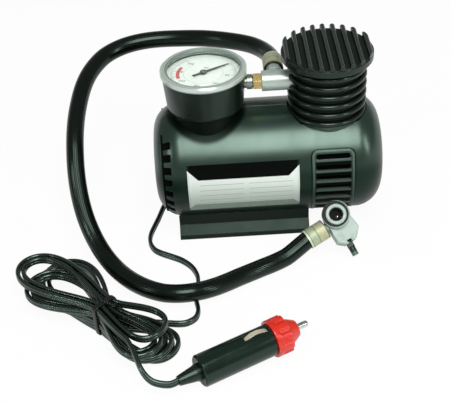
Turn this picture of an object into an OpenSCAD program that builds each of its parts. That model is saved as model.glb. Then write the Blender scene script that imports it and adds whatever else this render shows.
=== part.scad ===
// Portable 12 V tire inflator: a finned piston compressor in a round casing, with a pressure gauge,
// an air hose that ends in a lever chuck, and a hank of twin cord that ends in a lighter-socket plug.
// X runs along the casing, Y away from the front, Z up. The floor is z = 0. Millimetres.

/* [Casing] */
// Radius of the round casing
casing_r = 35; // [34:0.5:37]
// Length of the casing
casing_len = 136; // [130:1:144]
// Gap between the casing and the floor
casing_gap = 6.2; // [5.6:0.2:8]
// Wall of the casing
casing_wall = 2.4; // [1.8:0.2:3]
// Rounding of both casing ends
end_round = 16; // [12:1:20]
// Number of cooling slots in each louvre panel
louvre_count = 7; // [4:1:7]
// Length of each cooling slot
louvre_len = 20; // [14:1:22]
// Height of each cooling slot
louvre_h = 3.2; // [2:0.2:3.6]
// Angle between neighbouring cooling slots
louvre_step = 11; // [9:0.5:11]
// Middle of the louvre panel along the casing
louvre_x = 37; // [34:0.5:38]
// Number of shoulder vents on each half
vent_count = 9; // [5:1:9]
// Length of each shoulder vent along the casing
vent_len = 5; // [3:0.5:6]
// Height of each shoulder vent
vent_h = 4.4; // [3:0.2:5]
// Angle between neighbouring shoulder vents
vent_step = 13; // [11:0.5:13]

/* [Stand] */
// Length of the stand
stand_len = 79.5; // [70:0.5:86]
// Middle of the stand along the casing
stand_x = -16.25; // [-18:0.25:-14]
// Width of the stand at the floor
stand_w = 58; // [54:1:66]
// Width of the stand's upright walls
stand_neck_w = 48; // [44:1:50]
// Height of the stand's outer edge
stand_edge_h = 3; // [2:0.5:4]
// Height at which the sloping foot meets the upright wall
stand_slope_z = 8.6; // [7:0.2:10]
// Diameter of each rubber pad
pad_d = 9; // [7:0.5:11]
// How far the pads stand below the stand
pad_out = 0.6; // [0.4:0.1:1]

/* [Label] */
// Length of the label
label_len = 65.5; // [50:0.5:68]
// Middle of the label along the casing
label_x = -15.75; // [-18:0.25:-12]
// Upper and lower reach of the label, as an angle from the casing's middle
label_angle = 27; // [18:1:28]
// Thickness of the label
label_t = 0.3; // [0.2:0.1:0.4]

/* [Gauge] */
// Place of the gauge along the casing
gauge_x = -35.5; // [-36:0.5:-34]
// Height of the gauge's bottom above the casing's top
gauge_lift = 3.8; // [3:0.2:5]
// Radius of the gauge case at its bottom
cup_r = 22.8; // [22:0.2:23]
// Radius of the gauge case at its top
cup_top_r = 24.4; // [24:0.2:24.8]
// Height of the gauge case
cup_h = 20.6; // [20:0.2:22]
// Wall of the gauge case
cup_wall = 1.6; // [1.2:0.1:2]
// Radius of the bezel
bezel_r = 25.3; // [25:0.1:26]
// Height of the bezel
bezel_h = 3.6; // [3.2:0.2:4]
// Thickness of the lens
lens_t = 1.2; // [0.8:0.1:1.4]
// Thickness of the dial
dial_t = 0.6; // [0.4:0.1:0.8]
// Length of the pointer from its axis to its tip
pointer_len = 17.4; // [15:0.2:18.4]
// Length of the pointer's tail
pointer_tail = 7; // [5:0.5:9]
// Direction of the pointer at zero pressure
pointer_rest = 30; // [20:1:40]
// Radius of the seat ring under the gauge
gauge_seat_r = 20; // [18:0.5:21]
// Teeth of the pinion on the pointer's arbor
arbor_teeth = 8; // [8:1:8]
// Teeth of the whole circle that the sector is cut from
sector_teeth = 48; // [48:1:48]
// Tooth module of the gauge works
gauge_module = 0.4; // [0.36:0.01:0.42]

/* [Cylinder cover] */
// How far the cover's lower edge lies below the casing's top
collar_drop = 4.4; // [4:0.2:5.2]
// Place of the cylinder along the casing
cover_x = 36.3; // [35.8:0.1:36.8]
// Outer radius of the fins
fin_r = 23.3; // [22.4:0.1:24]
// Radius at the root of the fins
fin_root_r = 20; // [19.6:0.1:20.4]
// Number of fins
fin_count = 6; // [4:1:6]
// Distance between neighbouring fins
fin_pitch = 5.8; // [5.6:0.1:6.2]
// Thickness of each fin
fin_t = 3.2; // [2.4:0.2:3.6]
// Wall of the cover behind the fins
cover_wall = 1.8; // [1.4:0.1:2]
// Radius of the cap
cap_r = 26.7; // [26:0.1:28]
// Height of the cap's rim
cap_h = 4.6; // [4.2:0.1:5.4]
// Number of ribs on the cap
rib_count = 9; // [7:2:9]
// Distance between neighbouring ribs
rib_pitch = 5.9; // [5.4:0.1:6]
// Width of each rib
rib_w = 3; // [2.4:0.1:3.4]
// Height of each rib
rib_h = 2.8; // [2:0.1:3.2]

/* [Outlet] */
// Height of the outlet's axis above the gauge's bottom
outlet_lift = 12.8; // [12.4:0.1:13.2]
// Radius of the outlet tube
outlet_r = 6; // [5.6:0.1:6.2]
// Where the outlet tube starts, along the casing
outlet_x = -1.9; // [-2.4:0.1:-1.4]
// Radius of the air way in the outlet tube
airway_r = 1.8; // [1.5:0.1:2]
// Where the hose leaves the outlet tube, along the casing
hose_tail_x = 6; // [5.5:0.1:6.5]
// Distance across the flats of the brass nut on the gauge's stem
nut_flats = 9; // [8.6:0.1:9.4]
// Length of the brass nut
nut_len = 5; // [4:0.1:5.4]

/* [Compressor] */
// Radius of the cylinder's bore
bore_r = 8; // [7.5:0.1:8.4]
// Radius of the crank
crank_r = 6; // [5:0.1:6]
// Height of the piston's crown above the casing's top, at its highest
crown_lift = 10.8; // [10.4:0.1:11.4]
// Height of the crank's axis above the casing's axis
crank_lift = 5.8; // [5.4:0.1:6.2]
// Radius of the crank pin
pin_r = 2; // [1.6:0.1:2.4]
// Radius of the crank shaft
crank_shaft_r = 2.5; // [2:0.1:3]
// Outer radius of the cylinder's body
cylinder_r = 11; // [10:0.1:11.4]
// Radius of the cylinder head
head_r = 15; // [14.4:0.1:15.4]
// Height of the cylinder head
head_h = 10; // [9:0.2:11]
// Running gap between the crank pin and the crank disc
open_gap = 0.3; // [0.3:0.05:0.5]

/* [Drive] */
// Tooth module of the motor gears
drive_module = 0.6; // [0.56:0.01:0.62]
// Teeth of the motor pinion
pinion_teeth = 10; // [10:1:10]
// Teeth of the crank gear
gear_teeth = 46; // [46:1:46]
// Thickness of the crank gear
gear_t = 5; // [4:0.2:6]
// Radius of the motor can
can_r = 13.8; // [12:0.1:14]
// Length of the motor can
can_len = 37.8; // [34:0.2:40]
// Wall of the motor can
can_wall = 1.4; // [1:0.1:2]
// Radius of the motor shaft
motor_shaft_r = 1.15; // [1:0.05:1.5]
// Radius of the motor's rotor
rotor_r = 9; // [8:0.1:9.6]
// Radial clearance of a shaft in its bush
shaft_gap = 0.05; // [0.03:0.01:0.08]

/* [Air hose] */
// Outer diameter of the hose
hose_d = 10.6; // [9.6:0.1:11]
// Radius of the brass ferrules
ferrule_r = 6; // [5.8:0.1:6.4]
// Length of each ferrule
ferrule_len = 12.5; // [11:0.5:14]

/* [Chuck] */
// Tilt of the chuck's mouth from straight up, towards the front
chuck_tilt = 42; // [38:1:45]
// Radius of the mouth that takes the tire valve
mouth_r = 4.1; // [3.9:0.1:4.3]
// Radius of the mouth's pale ring
mouth_ring_r = 6.2; // [5.8:0.1:6.4]
// Radius of the dark collar
collar_r = 8.3; // [7.8:0.1:8.4]
// Depth of the chuck's barrel behind its mouth
chuck_depth = 12; // [11:0.5:12.5]
// Radius of the lever's pivot pin
lever_pin_r = 1; // [0.8:0.1:1.2]
// Width of the lever
lever_w = 4; // [3:0.2:4.4]
// Length of the lever from its pin to its end
lever_len = 10; // [9:0.2:11]

/* [Cord] */
// Width of the twin cord, which stands on its edge
cord_w = 2.6; // [2.2:0.1:2.8]
// Height of the twin cord
cord_h = 4.4; // [4:0.1:4.6]
// Number of loops in the hank
hank_loops = 8; // [8:1:8]
// Step between neighbouring loops of one layer
loop_step = 3.3; // [3.2:0.1:3.5]
// Height of one layer of loops
layer_h = 5; // [4.9:0.1:5.2]
// Thickness of the tie round the waist
tie_t = 1; // [0.6:0.1:1.1]
// Width of the tie
tie_w = 3; // [2:0.2:5]

/* [Plug] */
// Radius of the plug's body
plug_r = 8.85; // [8.4:0.05:9]
// Length of the plug's body
plug_len = 42.5; // [40:0.5:46]
// Radius of the plug's red nose
nose_r = 10.4; // [10:0.05:10.6]
// Length of the nose's wide part
nose_len = 9.2; // [8:0.2:11]
// Length of the nose's cone
cone_len = 6.8; // [6:0.2:9]
// Radius of the centre contact
contact_r = 1.8; // [1.5:0.1:2]
// How far the centre contact stands out
contact_out = 7.4; // [6:0.2:9]
// Travel of the centre contact
contact_travel = 2; // [1.4:0.2:3]
// Direction of the plug on the floor
plug_heading = 26; // [22:1:30]
// Roll of the plug about its own axis
plug_roll = 0; // [-10:1:10]
// Travel of each side contact
side_travel = 1.2; // [0.8:0.1:1.4]

/* [Hidden] */
$fn = 64;
eps = 0.01;
big = 400;

// ---- casing ----
casing_half = casing_len / 2;
casing_z = casing_r + casing_gap;
casing_top_z = casing_z + casing_r;
casing_in_r = casing_r - casing_wall;
collar_in_r = fin_root_r - cover_wall;
collar_r_out = collar_in_r + 3.6;
collar_top_z = casing_top_z - collar_drop;
collar_low_z = collar_top_z - 3.3;
collar_low_wall = 1.6;
pocket_r = fin_r + 0.3;
seat_wall = 2.4;
gauge_z = casing_top_z + gauge_lift;
outlet_z = gauge_z + outlet_lift;
crank_z = casing_z + crank_lift;
louvre_top = 28;
louvre_span = louvre_step * (louvre_count - 1);
border_w = 1.4;
border_out = 0.6;
border_pad = 1.6;
vent_x = -casing_half + 8;
vent_top = 48;
cut_in = casing_r - 4 * casing_wall;
screw_r = 1.5;
screw_head_r = 2.8;
screw_head_h = 2;
boss_r = 3.6;
screw_places = [-casing_half + end_round + 2, casing_half - end_round + 5];
screw_rise = 22;

module along_x(x, y, z) {
    translate([x, y, z]) rotate([0, 90, 0]) children();
}
module along_y(x, y, z) {
    translate([x, y, z]) rotate([-90, 0, 0]) children();
}
module ring(r_out, r_in, h) {
    difference() {
        cylinder(r = r_out, h = h);
        translate([0, 0, -1]) cylinder(r = r_in, h = h + 2);
    }
}
module barrel(r, half, round) {
    along_x(0, 0, casing_z) rotate_extrude() union() {
        translate([0, -half]) square([r - round, 2 * half]);
        translate([0, -half + round]) square([r, 2 * (half - round)]);
        for (side = [-1, 1])
            translate([r - round, side * (half - round)]) circle(r = round);
    }
}
// Puts a child, drawn with its outward direction along -Y, at an angle round the casing.
module round_casing(x, angle) {
    translate([x, 0, casing_z]) rotate([-angle, 0, 0]) children();
}
// One slot with round ends, running along X and cut through the wall.
module casing_slot(len, h) {
    for (side = [-1, 1])
        along_y(side * (len - h) / 2, -casing_r - 2, 0) cylinder(d = h, h = casing_r + 2 - cut_in);
    translate([-(len - h) / 2, -casing_r - 2, -h / 2]) cube([len - h, casing_r + 2 - cut_in, h]);
}
module louvre_cuts() {
    for (i = [0 : louvre_count - 1])
        round_casing(louvre_x, louvre_top - i * louvre_step) casing_slot(louvre_len, louvre_h);
    for (i = [0 : vent_count - 1])
        round_casing(vent_x, vent_top - i * vent_step) translate([-vent_len / 2, -casing_r - 2, -vent_h / 2])
            cube([vent_len, casing_r + 2 - cut_in, vent_h]);
}
// Raised border round the louvre panel: two rails along X and two hoops round the casing.
module louvre_border() {
    rail_gap = asin((louvre_h / 2 + border_pad) / casing_r);
    rail_top = louvre_top + rail_gap;
    rail_low = louvre_top - louvre_span - rail_gap;
    half = louvre_len / 2 + border_pad;
    rail_out = border_out - 0.15;
    hoop_more = asin(0.8 * border_w / casing_r);
    for (angle = [rail_top, rail_low])
        round_casing(louvre_x, angle) translate([-half, -casing_r - rail_out, -border_w / 2])
            cube([2 * half, rail_out + casing_wall / 2, border_w]);
    for (side = [-1, 1])
        along_x(louvre_x + side * half - border_w / 2, 0, casing_z)
            rotate([0, 0, 270 - rail_top - hoop_more])
                rotate_extrude(angle = rail_top - rail_low + 2 * hoop_more)
                    translate([casing_r - casing_wall / 2 - 0.2, 0])
                        square([casing_wall / 2 + 0.2 + border_out, border_w]);
}
// The hollow of the casing leaves the screw bosses and the collar that carries the cylinder cover.
module casing_hollow() {
    difference() {
        barrel(casing_in_r, casing_half - casing_wall, end_round - casing_wall);
        translate([cover_x, 0, collar_low_z]) cylinder(r = pocket_r + collar_low_wall, h = big);
        screw_axes() translate([0, 0, -casing_r]) cylinder(r = boss_r, h = 2 * casing_r);
    }
}
module casing_solid() {
    difference() {
        union() {
            barrel(casing_r, casing_half, end_round);
            translate([gauge_x, 0, casing_z]) cylinder(r = gauge_seat_r, h = gauge_z - casing_z);
            translate([cover_x, 0, casing_z]) cylinder(r = collar_r_out, h = collar_top_z - casing_z);
        }
        casing_hollow();
        translate([gauge_x, 0, casing_z + casing_r]) cylinder(r = gauge_seat_r - seat_wall, h = big);
        translate([cover_x, 0, casing_z]) cylinder(r = collar_in_r, h = big);
        translate([cover_x, 0, collar_top_z]) cylinder(r = pocket_r, h = big);
    }
}
module screw_axes() {
    for (p = screw_places)
        for (side = [-1, 1])
            translate([p, 0, casing_z + side * screw_rise]) rotate([-90, 0, 0]) children();
}
head_seat_y = sqrt(pow(casing_in_r, 2) - pow(screw_rise + boss_r, 2)) - 2;
module front_shell() {
    color([0.08, 0.13, 0.11]) difference() {
        union() {
            intersection() {
                casing_solid();
                translate([-big / 2, -big, -big / 2]) cube([big, big, big]);
            }
            louvre_border();
        }
        louvre_cuts();
        screw_axes() translate([0, 0, -8]) cylinder(r = screw_r, h = 10);
        stand_sockets();
    }
}
module rear_shell() {
    color([0.08, 0.13, 0.11]) difference() {
        union() {
            intersection() {
                casing_solid();
                translate([-big / 2, 0, -big / 2]) cube([big, big, big]);
            }
            mirror([0, 1, 0]) louvre_border();
        }
        mirror([0, 1, 0]) louvre_cuts();
        screw_axes() translate([0, 0, -1]) cylinder(r = screw_r, h = big);
        screw_axes() translate([0, 0, head_seat_y]) cylinder(r = screw_head_r + 0.2, h = big);
        stand_sockets();
    }
}
module casing_screws() {
    color([0.2, 0.2, 0.2]) screw_axes() union() {
        translate([0, 0, -7]) cylinder(r = screw_r, h = head_seat_y + 7);
        translate([0, 0, head_seat_y]) cylinder(r = screw_head_r, h = screw_head_h);
    }
}

// ---- stand ----
stand_low_z = pad_out;
stand_top_z = casing_z - sqrt(pow(casing_r, 2) - pow(stand_neck_w / 2, 2)) + 1;
stand_peg_r = 3;
stand_peg_h = 6;
stand_pegs = [stand_x - stand_len / 2 + 14, stand_x + stand_len / 2 - 14];
pad_in = 1.4;
module stand_sockets() {
    for (x = stand_pegs)
        translate([x, 0, casing_z - casing_r - 1]) cylinder(r = stand_peg_r, h = stand_peg_h + 1);
}
module stand() {
    half = stand_w / 2;
    neck = stand_neck_w / 2;
    x0 = stand_x - stand_len / 2;
    edge_z = stand_low_z + stand_edge_h;
    peg_top_z = casing_z - casing_r + stand_peg_h;
    color([0.07, 0.11, 0.1]) difference() {
        union() {
            difference() {
                translate([x0, 0, 0]) rotate([90, 0, 90]) linear_extrude(stand_len)
                    polygon([[-half, stand_low_z], [half, stand_low_z], [half, edge_z], [neck, stand_slope_z],
                             [neck, stand_top_z], [-neck, stand_top_z], [-neck, stand_slope_z],
                             [-half, edge_z]]);
                along_x(x0 - 1, 0, casing_z) cylinder(r = casing_r, h = stand_len + 2);
            }
            for (x = stand_pegs)
                translate([x, 0, stand_low_z]) cylinder(r = stand_peg_r, h = peg_top_z - stand_low_z);
        }
        pad_places() translate([0, 0, -pad_in]) cylinder(d = pad_d, h = 2 * pad_in);
        along_x(x0 - 1, gland_y, gland_z) cylinder(r = gland_r, h = gland_in + 1);
    }
}
module pad_places() {
    for (i = [-1, 1])
        for (j = [-1, 1])
            translate([stand_x + i * (stand_len / 2 - 9), j * (stand_w / 2 - 8), stand_low_z]) children();
}
module stand_pads() {
    color([0.05, 0.05, 0.05]) pad_places() translate([0, 0, -pad_out])
        cylinder(d = pad_d, h = pad_out + pad_in);
}
label_glue = 0.05;
module front_label() {
    color([0.86, 0.92, 0.86]) along_x(label_x - label_len / 2, 0, casing_z)
        rotate([0, 0, 270 - label_angle]) rotate_extrude(angle = 2 * label_angle)
            translate([casing_r + label_glue, 0]) square([label_t, label_len]);
}

// ---- gauge ----
gauge_floor = 2;
cup_top_z = gauge_z + cup_h;
bezel_top_z = cup_top_z + bezel_h;
lens_z = bezel_top_z - 0.6 - lens_t;
dial_r = cup_top_r - cup_wall - 0.6;
dial_z = cup_top_z - 1.6;
dial_top_z = dial_z + dial_t;
pointer_z = dial_top_z + 0.5;
hub_h = 0.9;
arbor_r = 0.6;
sector_r = gauge_module * sector_teeth / 2;
arbor_pitch_r = gauge_module * arbor_teeth / 2;
sector_gap = sector_r + arbor_pitch_r;
plate_t = 1;
plate_low_z = gauge_z + gauge_floor + 1.4;
plate_top_z = dial_z - 4;
sector_z = plate_low_z + plate_t + 2.8;
sector_t = 1.2;
sector_dir = 100;
sector_at = [sector_gap * cos(sector_dir), sector_gap * sin(sector_dir)];
sector_half = 36;
sector_swing = 45;
tail_len = 5;
tube_r = 15.5;
tube_t = 2.2;
tube_h = 4.6;
tube_z = sector_z + sector_t + 1;
tube_start = -6;
tube_sweep = 262;
stem_z = outlet_z;
socket_in = 17.6;
module at_gauge(z) {
    translate([gauge_x, 0, z]) children();
}
// Outline of a gear with straight-sided teeth that leave backlash at the pitch circle.
module gear_2d(teeth, m) {
    pitch = m * teeth / 2;
    tip = pitch + 0.75 * m;
    root = pitch - 0.95 * m;
    step = 360 / teeth;
    polygon([for (i = [0 : teeth - 1]) each [
        for (q = [[root, -0.36], [pitch, -0.205], [tip, -0.09], [tip, 0.09], [pitch, 0.205], [root, 0.36]])
            [q[0] * cos((i + q[1]) * step), q[0] * sin((i + q[1]) * step)]]]);
}
module gauge_case() {
    edge = 2;
    color([0.06, 0.1, 0.09]) at_gauge(gauge_z) difference() {
        rotate_extrude() polygon([[0, 0], [cup_r - edge, 0], [cup_r - 0.5, 0.6], [cup_r, edge],
                                  [cup_top_r, cup_h], [0, cup_h]]);
        translate([0, 0, gauge_floor]) cylinder(r = cup_r - cup_wall - 0.2, h = big);
        translate([0, 0, dial_z - gauge_z]) cylinder(r = dial_r, h = big);
        along_x(0, 0, stem_z - gauge_z) cylinder(r = stem_r, h = big);
    }
}
module gauge_bezel() {
    lip_r = dial_r - 1;
    color([0.8, 0.86, 0.82]) at_gauge(cup_top_z) rotate_extrude() polygon([
        [dial_r, 0], [bezel_r - 0.6, 0], [bezel_r, 0.8], [bezel_r, bezel_h - 0.9], [bezel_r - 0.9, bezel_h],
        [lip_r + 0.8, bezel_h], [lip_r, bezel_h - 0.6], [dial_r, bezel_h - 0.6]]);
}
module gauge_lens() {
    color([0.9, 0.97, 0.94, 0.35]) at_gauge(lens_z) cylinder(r = dial_r, h = lens_t);
}
module gauge_dial() {
    color([0.95, 0.96, 0.94]) at_gauge(dial_z) ring(dial_r, arbor_r + 0.5, dial_t);
}
module gauge_pointer() {
    color([0.15, 0.18, 0.17]) at_gauge(pointer_z) rotate([0, 0, pointer_rest]) difference() {
        union() {
            cylinder(r = 2, h = hub_h);
            linear_extrude(0.5) polygon([[-pointer_tail, -1], [-pointer_tail + 2, -0.6], [0, -1],
                                         [pointer_len, -0.15], [pointer_len, 0.15], [0, 1],
                                         [-pointer_tail + 2, 0.6], [-pointer_tail, 1]]);
        }
        translate([0, 0, -1]) cylinder(r = arbor_r, h = 3);
    }
}
module gauge_arbor() {
    low_z = plate_low_z + 0.2;
    color("gold") at_gauge(low_z) union() {
        cylinder(r = arbor_r, h = pointer_z + hub_h - low_z);
        translate([0, 0, sector_z - low_z - 0.4]) linear_extrude(sector_t + 0.8)
            rotate([0, 0, sector_dir]) gear_2d(arbor_teeth, gauge_module);
    }
}
sector_pivot_r = 0.8;
tail_pin_r = 0.6;
link_t = 0.5;
// The sector starts with the pinion at one end of its arc and turns by a sixth of the pointer's swing.
module gauge_sector() {
    middle = sector_dir + 180 - sector_swing / 2;
    half_w = 20 * tan(sector_half);
    color("goldenrod") at_gauge(sector_z) translate(sector_at) difference() {
        union() {
            linear_extrude(sector_t) intersection() {
                rotate([0, 0, sector_dir + 180 + 180 / sector_teeth]) gear_2d(sector_teeth, gauge_module);
                rotate([0, 0, middle]) polygon([[0, 0], [20, -half_w], [20, half_w]]);
            }
            cylinder(r = 2, h = sector_t);
            rotate([0, 0, middle + 180]) translate([0, -1, 0]) cube([tail_len, 2, sector_t]);
            rotate([0, 0, middle + 180]) translate([tail_len, 0, 0]) union() {
                cylinder(r = 1.2, h = sector_t);
                cylinder(r = tail_pin_r, h = sector_t + link_t + 0.1);
            }
        }
        translate([0, 0, -1]) cylinder(r = sector_pivot_r + shaft_gap, h = 9);
    }
}
link_len = 4.5;
link_dir = sector_dir + 90;
tail_dir = sector_dir - sector_swing / 2;
sector_tail = sector_at + tail_len * [cos(tail_dir), sin(tail_dir)];
module gauge_link() {
    color("gold") at_gauge(sector_z + sector_t + 0.1) translate(sector_tail) rotate([0, 0, link_dir])
        difference() {
            union() {
                cylinder(r = 1.2, h = link_t);
                translate([0, -0.6, 0]) cube([link_len, 1.2, link_t]);
                translate([link_len, 0, 0]) cylinder(r = 1, h = link_t);
            }
            translate([0, 0, -1]) cylinder(r = tail_pin_r + shaft_gap, h = 9);
        }
}
module bourdon_tube() {
    edge = 0.4;
    color([0.75, 0.6, 0.3]) at_gauge(tube_z) rotate([0, 0, tube_start - tube_sweep])
        rotate_extrude(angle = tube_sweep) translate([tube_r - tube_t / 2, 0]) union() {
            translate([edge, 0]) square([tube_t - 2 * edge, tube_h]);
            translate([0, edge]) square([tube_t, tube_h - 2 * edge]);
        }
}
stem_r = 3.6;
nut_x = outlet_x - nut_len;
stem_collar_r = 4.4;
stem_collar_h = 3.3;
stem_start_x = gauge_x + socket_in - 1;
module gauge_socket() {
    block_t = 4;
    block_w = 8;
    block_h = stem_z + 3 - gauge_z - gauge_floor;
    color([0.85, 0.72, 0.4]) difference() {
        union() {
            at_gauge(gauge_z + gauge_floor) translate([socket_in - block_t, -block_w / 2, 0])
                cube([block_t, block_w, block_h]);
            along_x(stem_start_x, 0, stem_z) cylinder(r = stem_r, h = nut_x - stem_start_x);
            along_x(nut_x - 0.5 - stem_collar_h, 0, stem_z) cylinder(r = stem_collar_r, h = stem_collar_h);
            along_x(nut_x, 0, stem_z) cylinder(d = nut_flats / cos(30), h = nut_len, $fn = 6);
            along_x(nut_x + nut_len - eps, 0, stem_z) cylinder(r = stem_r - 0.8, h = 5);
        }
        along_x(gauge_x + socket_in, 0, stem_z) cylinder(r = airway_r / 2, h = big);
        at_gauge(tube_z) ring(tube_r + tube_t / 2, tube_r - tube_t / 2, tube_h);
    }
}
post_r = 1.2;
frame_half = 11;
post_places = frame_half * [[-0.82, -0.55], [0.82, -0.55], [-0.77, 0.77]];
module movement_frame() {
    floor_z = gauge_z + gauge_floor;
    outline = frame_half * [[-1, -0.73], [1, -0.73], [1, -0.36], [0.36, 0.55], [0.18, 1.23], [-0.82, 1.09],
                            [-0.91, 0.18]];
    color([0.78, 0.66, 0.34]) at_gauge(0) difference() {
        union() {
            for (z = [plate_low_z, plate_top_z])
                translate([0, 0, z]) linear_extrude(plate_t) polygon(outline);
            for (p = post_places)
                translate([p[0], p[1], floor_z]) cylinder(r = post_r, h = plate_top_z - floor_z);
            translate([sector_at[0], sector_at[1], plate_low_z])
                cylinder(r = sector_pivot_r, h = plate_top_z - plate_low_z);
        }
        translate([0, 0, floor_z]) cylinder(r = arbor_r + shaft_gap, h = big);
    }
}

// ---- outlet ----
head_side_x = cover_x - head_r;
hose_tail_y = 12;
port_r = outlet_r - 2.5;
tail_r = outlet_r - 1.7;
module outlet_manifold() {
    color([0.82, 0.86, 0.84]) difference() {
        union() {
            along_x(outlet_x, 0, outlet_z) cylinder(r = outlet_r, h = head_side_x - outlet_x);
            along_x(head_side_x - 1, 0, outlet_z) cylinder(r = port_r, h = 5);
            along_y(hose_tail_x, 0, outlet_z) cylinder(r = tail_r, h = outlet_r + 0.4);
        }
        along_x(outlet_x - 1, 0, outlet_z) cylinder(r = airway_r, h = big);
        along_x(outlet_x - 1, 0, outlet_z) cylinder(r = stem_r - 0.8, h = 6);
        along_y(hose_tail_x, 0, outlet_z) cylinder(r = airway_r, h = big);
    }
}
module hose_tail() {
    y0 = outlet_r + 0.4;
    collar_len = 3.6;
    color([0.88, 0.9, 0.86]) difference() {
        union() {
            along_y(hose_tail_x, y0, outlet_z) cylinder(r = tail_r + 1.2, h = collar_len, $fn = 6);
            along_y(hose_tail_x, y0, outlet_z) cylinder(r = tail_r + 0.3, h = hose_tail_y - y0);
        }
        along_y(hose_tail_x, y0 - 1, outlet_z) cylinder(r = airway_r, h = big);
    }
}

// ---- cylinder cover ----
cover_low_z = collar_top_z;
cap_gap = 2.5;
cover_high_z = cover_low_z + (fin_count - 1) * fin_pitch + fin_t + cap_gap;
cap_top_z = cover_high_z + cap_h;
module fin_profile(z) {
    translate([0, z]) union() {
        square([fin_r - fin_t / 2, fin_t]);
        translate([fin_r - fin_t / 2, fin_t / 2]) circle(d = fin_t);
    }
}
module fin_cover() {
    color([0.07, 0.09, 0.08]) difference() {
        translate([cover_x, 0, cover_low_z]) rotate_extrude() difference() {
            union() {
                square([fin_root_r, cover_high_z - cover_low_z]);
                for (i = [0 : fin_count - 1])
                    fin_profile(i * fin_pitch);
            }
            translate([-1, -1]) square([collar_in_r + 1, big]);
        }
        along_x(outlet_x, 0, outlet_z) cylinder(r = outlet_r + 0.2, h = cover_x - outlet_x);
    }
}
module top_cap() {
    lip = 2.4;
    color([0.07, 0.09, 0.08]) translate([cover_x, 0, cover_high_z]) union() {
        cylinder(r = cap_r - 0.6, h = 0.6);
        translate([0, 0, 0.6]) cylinder(r = cap_r, h = cap_h - 1.2);
        translate([0, 0, cap_h - 0.6]) cylinder(r = cap_r - 0.6, h = 0.6);
        translate([0, 0, -lip]) ring(collar_in_r - 0.1, collar_in_r - 1.8, lip + eps);
        intersection() {
            for (i = [0 : rib_count - 1])
                translate([(i - (rib_count - 1) / 2) * rib_pitch, 0, cap_h - eps]) rib();
            cylinder(r = cap_r + 0.05, h = cap_h + rib_h + 1);
        }
    }
}
module rib() {
    rotate([90, 0, 0]) translate([0, 0, -cap_r - 1]) linear_extrude(2 * cap_r + 2) union() {
        translate([-rib_w / 2, 0]) square([rib_w, rib_h - rib_w / 2 + eps]);
        translate([0, rib_h - rib_w / 2]) circle(d = rib_w);
    }
}

// ---- compressor ----
crown_z = casing_top_z + crown_lift;
cylinder_top_z = crown_z + 0.6;
frame_top_z = collar_top_z - 4;
frame_t = 3;
plate_h = 1.2;
head_low_z = cylinder_top_z + plate_h;
head_screw_at = head_r - 2.4;
head_screw_angles = [45, 135, 225, 315];
seal_h = 3;
stroke = 2 * crank_r;
rod_t = 6.4;
disc_t = 4;
disc_x = cover_x - rod_t / 2 - 0.8 - disc_t;
gear_x = disc_x - gear_t;
frame_x = gear_x - 2 - frame_t;
module cylinder_bolt_holes(z, h) {
    for (a = head_screw_angles)
        translate([cover_x + head_screw_at * cos(a), head_screw_at * sin(a), z]) cylinder(r = 1.2, h = h);
}
module cylinder_barrel() {
    flange_h = 3;
    color([0.72, 0.74, 0.75]) difference() {
        translate([cover_x, 0, frame_top_z]) union() {
            cylinder(r = cylinder_r + 3, h = flange_h);
            cylinder(r = cylinder_r, h = cylinder_top_z - frame_top_z);
            translate([0, 0, cylinder_top_z - frame_top_z - 4]) cylinder(r = head_r, h = 4);
        }
        translate([cover_x, 0, frame_top_z - 1]) cylinder(r = bore_r, h = big);
        cylinder_bolt_holes(cylinder_top_z - 4 - eps, big);
    }
}
module valve_plate() {
    color([0.8, 0.8, 0.78]) difference() {
        translate([cover_x, 0, cylinder_top_z]) cylinder(r = head_r, h = plate_h);
        translate([cover_x, 0, 0]) cylinder(r = 1.5, h = big);
        cylinder_bolt_holes(cylinder_top_z - 1, big);
    }
}
reed_h = 0.3;
chamber_r = 7;
chamber_h = 5.6;
module outlet_reed() {
    color([0.6, 0.62, 0.66]) translate([cover_x, 0, head_low_z]) union() {
        cylinder(r = 2.6, h = reed_h);
        translate([0, -1.4, 0]) cube([chamber_r - 0.4, 2.8, reed_h]);
    }
}
module cylinder_head() {
    color([0.7, 0.72, 0.74]) difference() {
        translate([cover_x, 0, head_low_z]) cylinder(r = head_r, h = head_h);
        translate([cover_x, 0, head_low_z - 1]) cylinder(r = chamber_r, h = chamber_h + 1);
        along_x(head_side_x - 1, 0, outlet_z) cylinder(r = port_r, h = head_r - chamber_r + 2);
        cylinder_bolt_holes(head_low_z - 1, big);
        for (a = [-1 : 1])
            translate([cover_x - head_r, a * 5 - 0.9, head_low_z + head_h - 2]) cube([2 * head_r, 1.8, 3]);
    }
}
module head_screws() {
    screw_len = head_h + plate_h + 4;
    color([0.5, 0.5, 0.52]) for (a = head_screw_angles)
        translate([cover_x + head_screw_at * cos(a), head_screw_at * sin(a), cylinder_top_z - 4]) union() {
            cylinder(r = 1.2, h = screw_len);
            translate([0, 0, screw_len]) cylinder(r = 2.2, h = 1.6);
        }
}
seal_in_r = bore_r - 3;
crown_t = 0.4;
module piston_rod() {
    foot_z = crown_z - crown_t - seal_h - 2;
    color([0.75, 0.77, 0.78]) difference() {
        union() {
            along_x(cover_x - rod_t / 2, 0, crank_z + crank_r) cylinder(r = pin_r + 2.6, h = rod_t);
            translate([cover_x - 2, -2.4, crank_z + crank_r]) cube([4, 4.8, foot_z - crank_z - crank_r + 1]);
            translate([cover_x, 0, foot_z]) cylinder(r = bore_r - 0.8, h = 2);
            translate([cover_x, 0, foot_z]) cylinder(r = seal_in_r, h = crown_z - foot_z);
            translate([cover_x, 0, crown_z - crown_t]) cylinder(r = bore_r - 0.8, h = crown_t);
        }
        along_x(cover_x - rod_t, 0, crank_z + crank_r) cylinder(r = pin_r, h = 2 * rod_t);
    }
}
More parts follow.
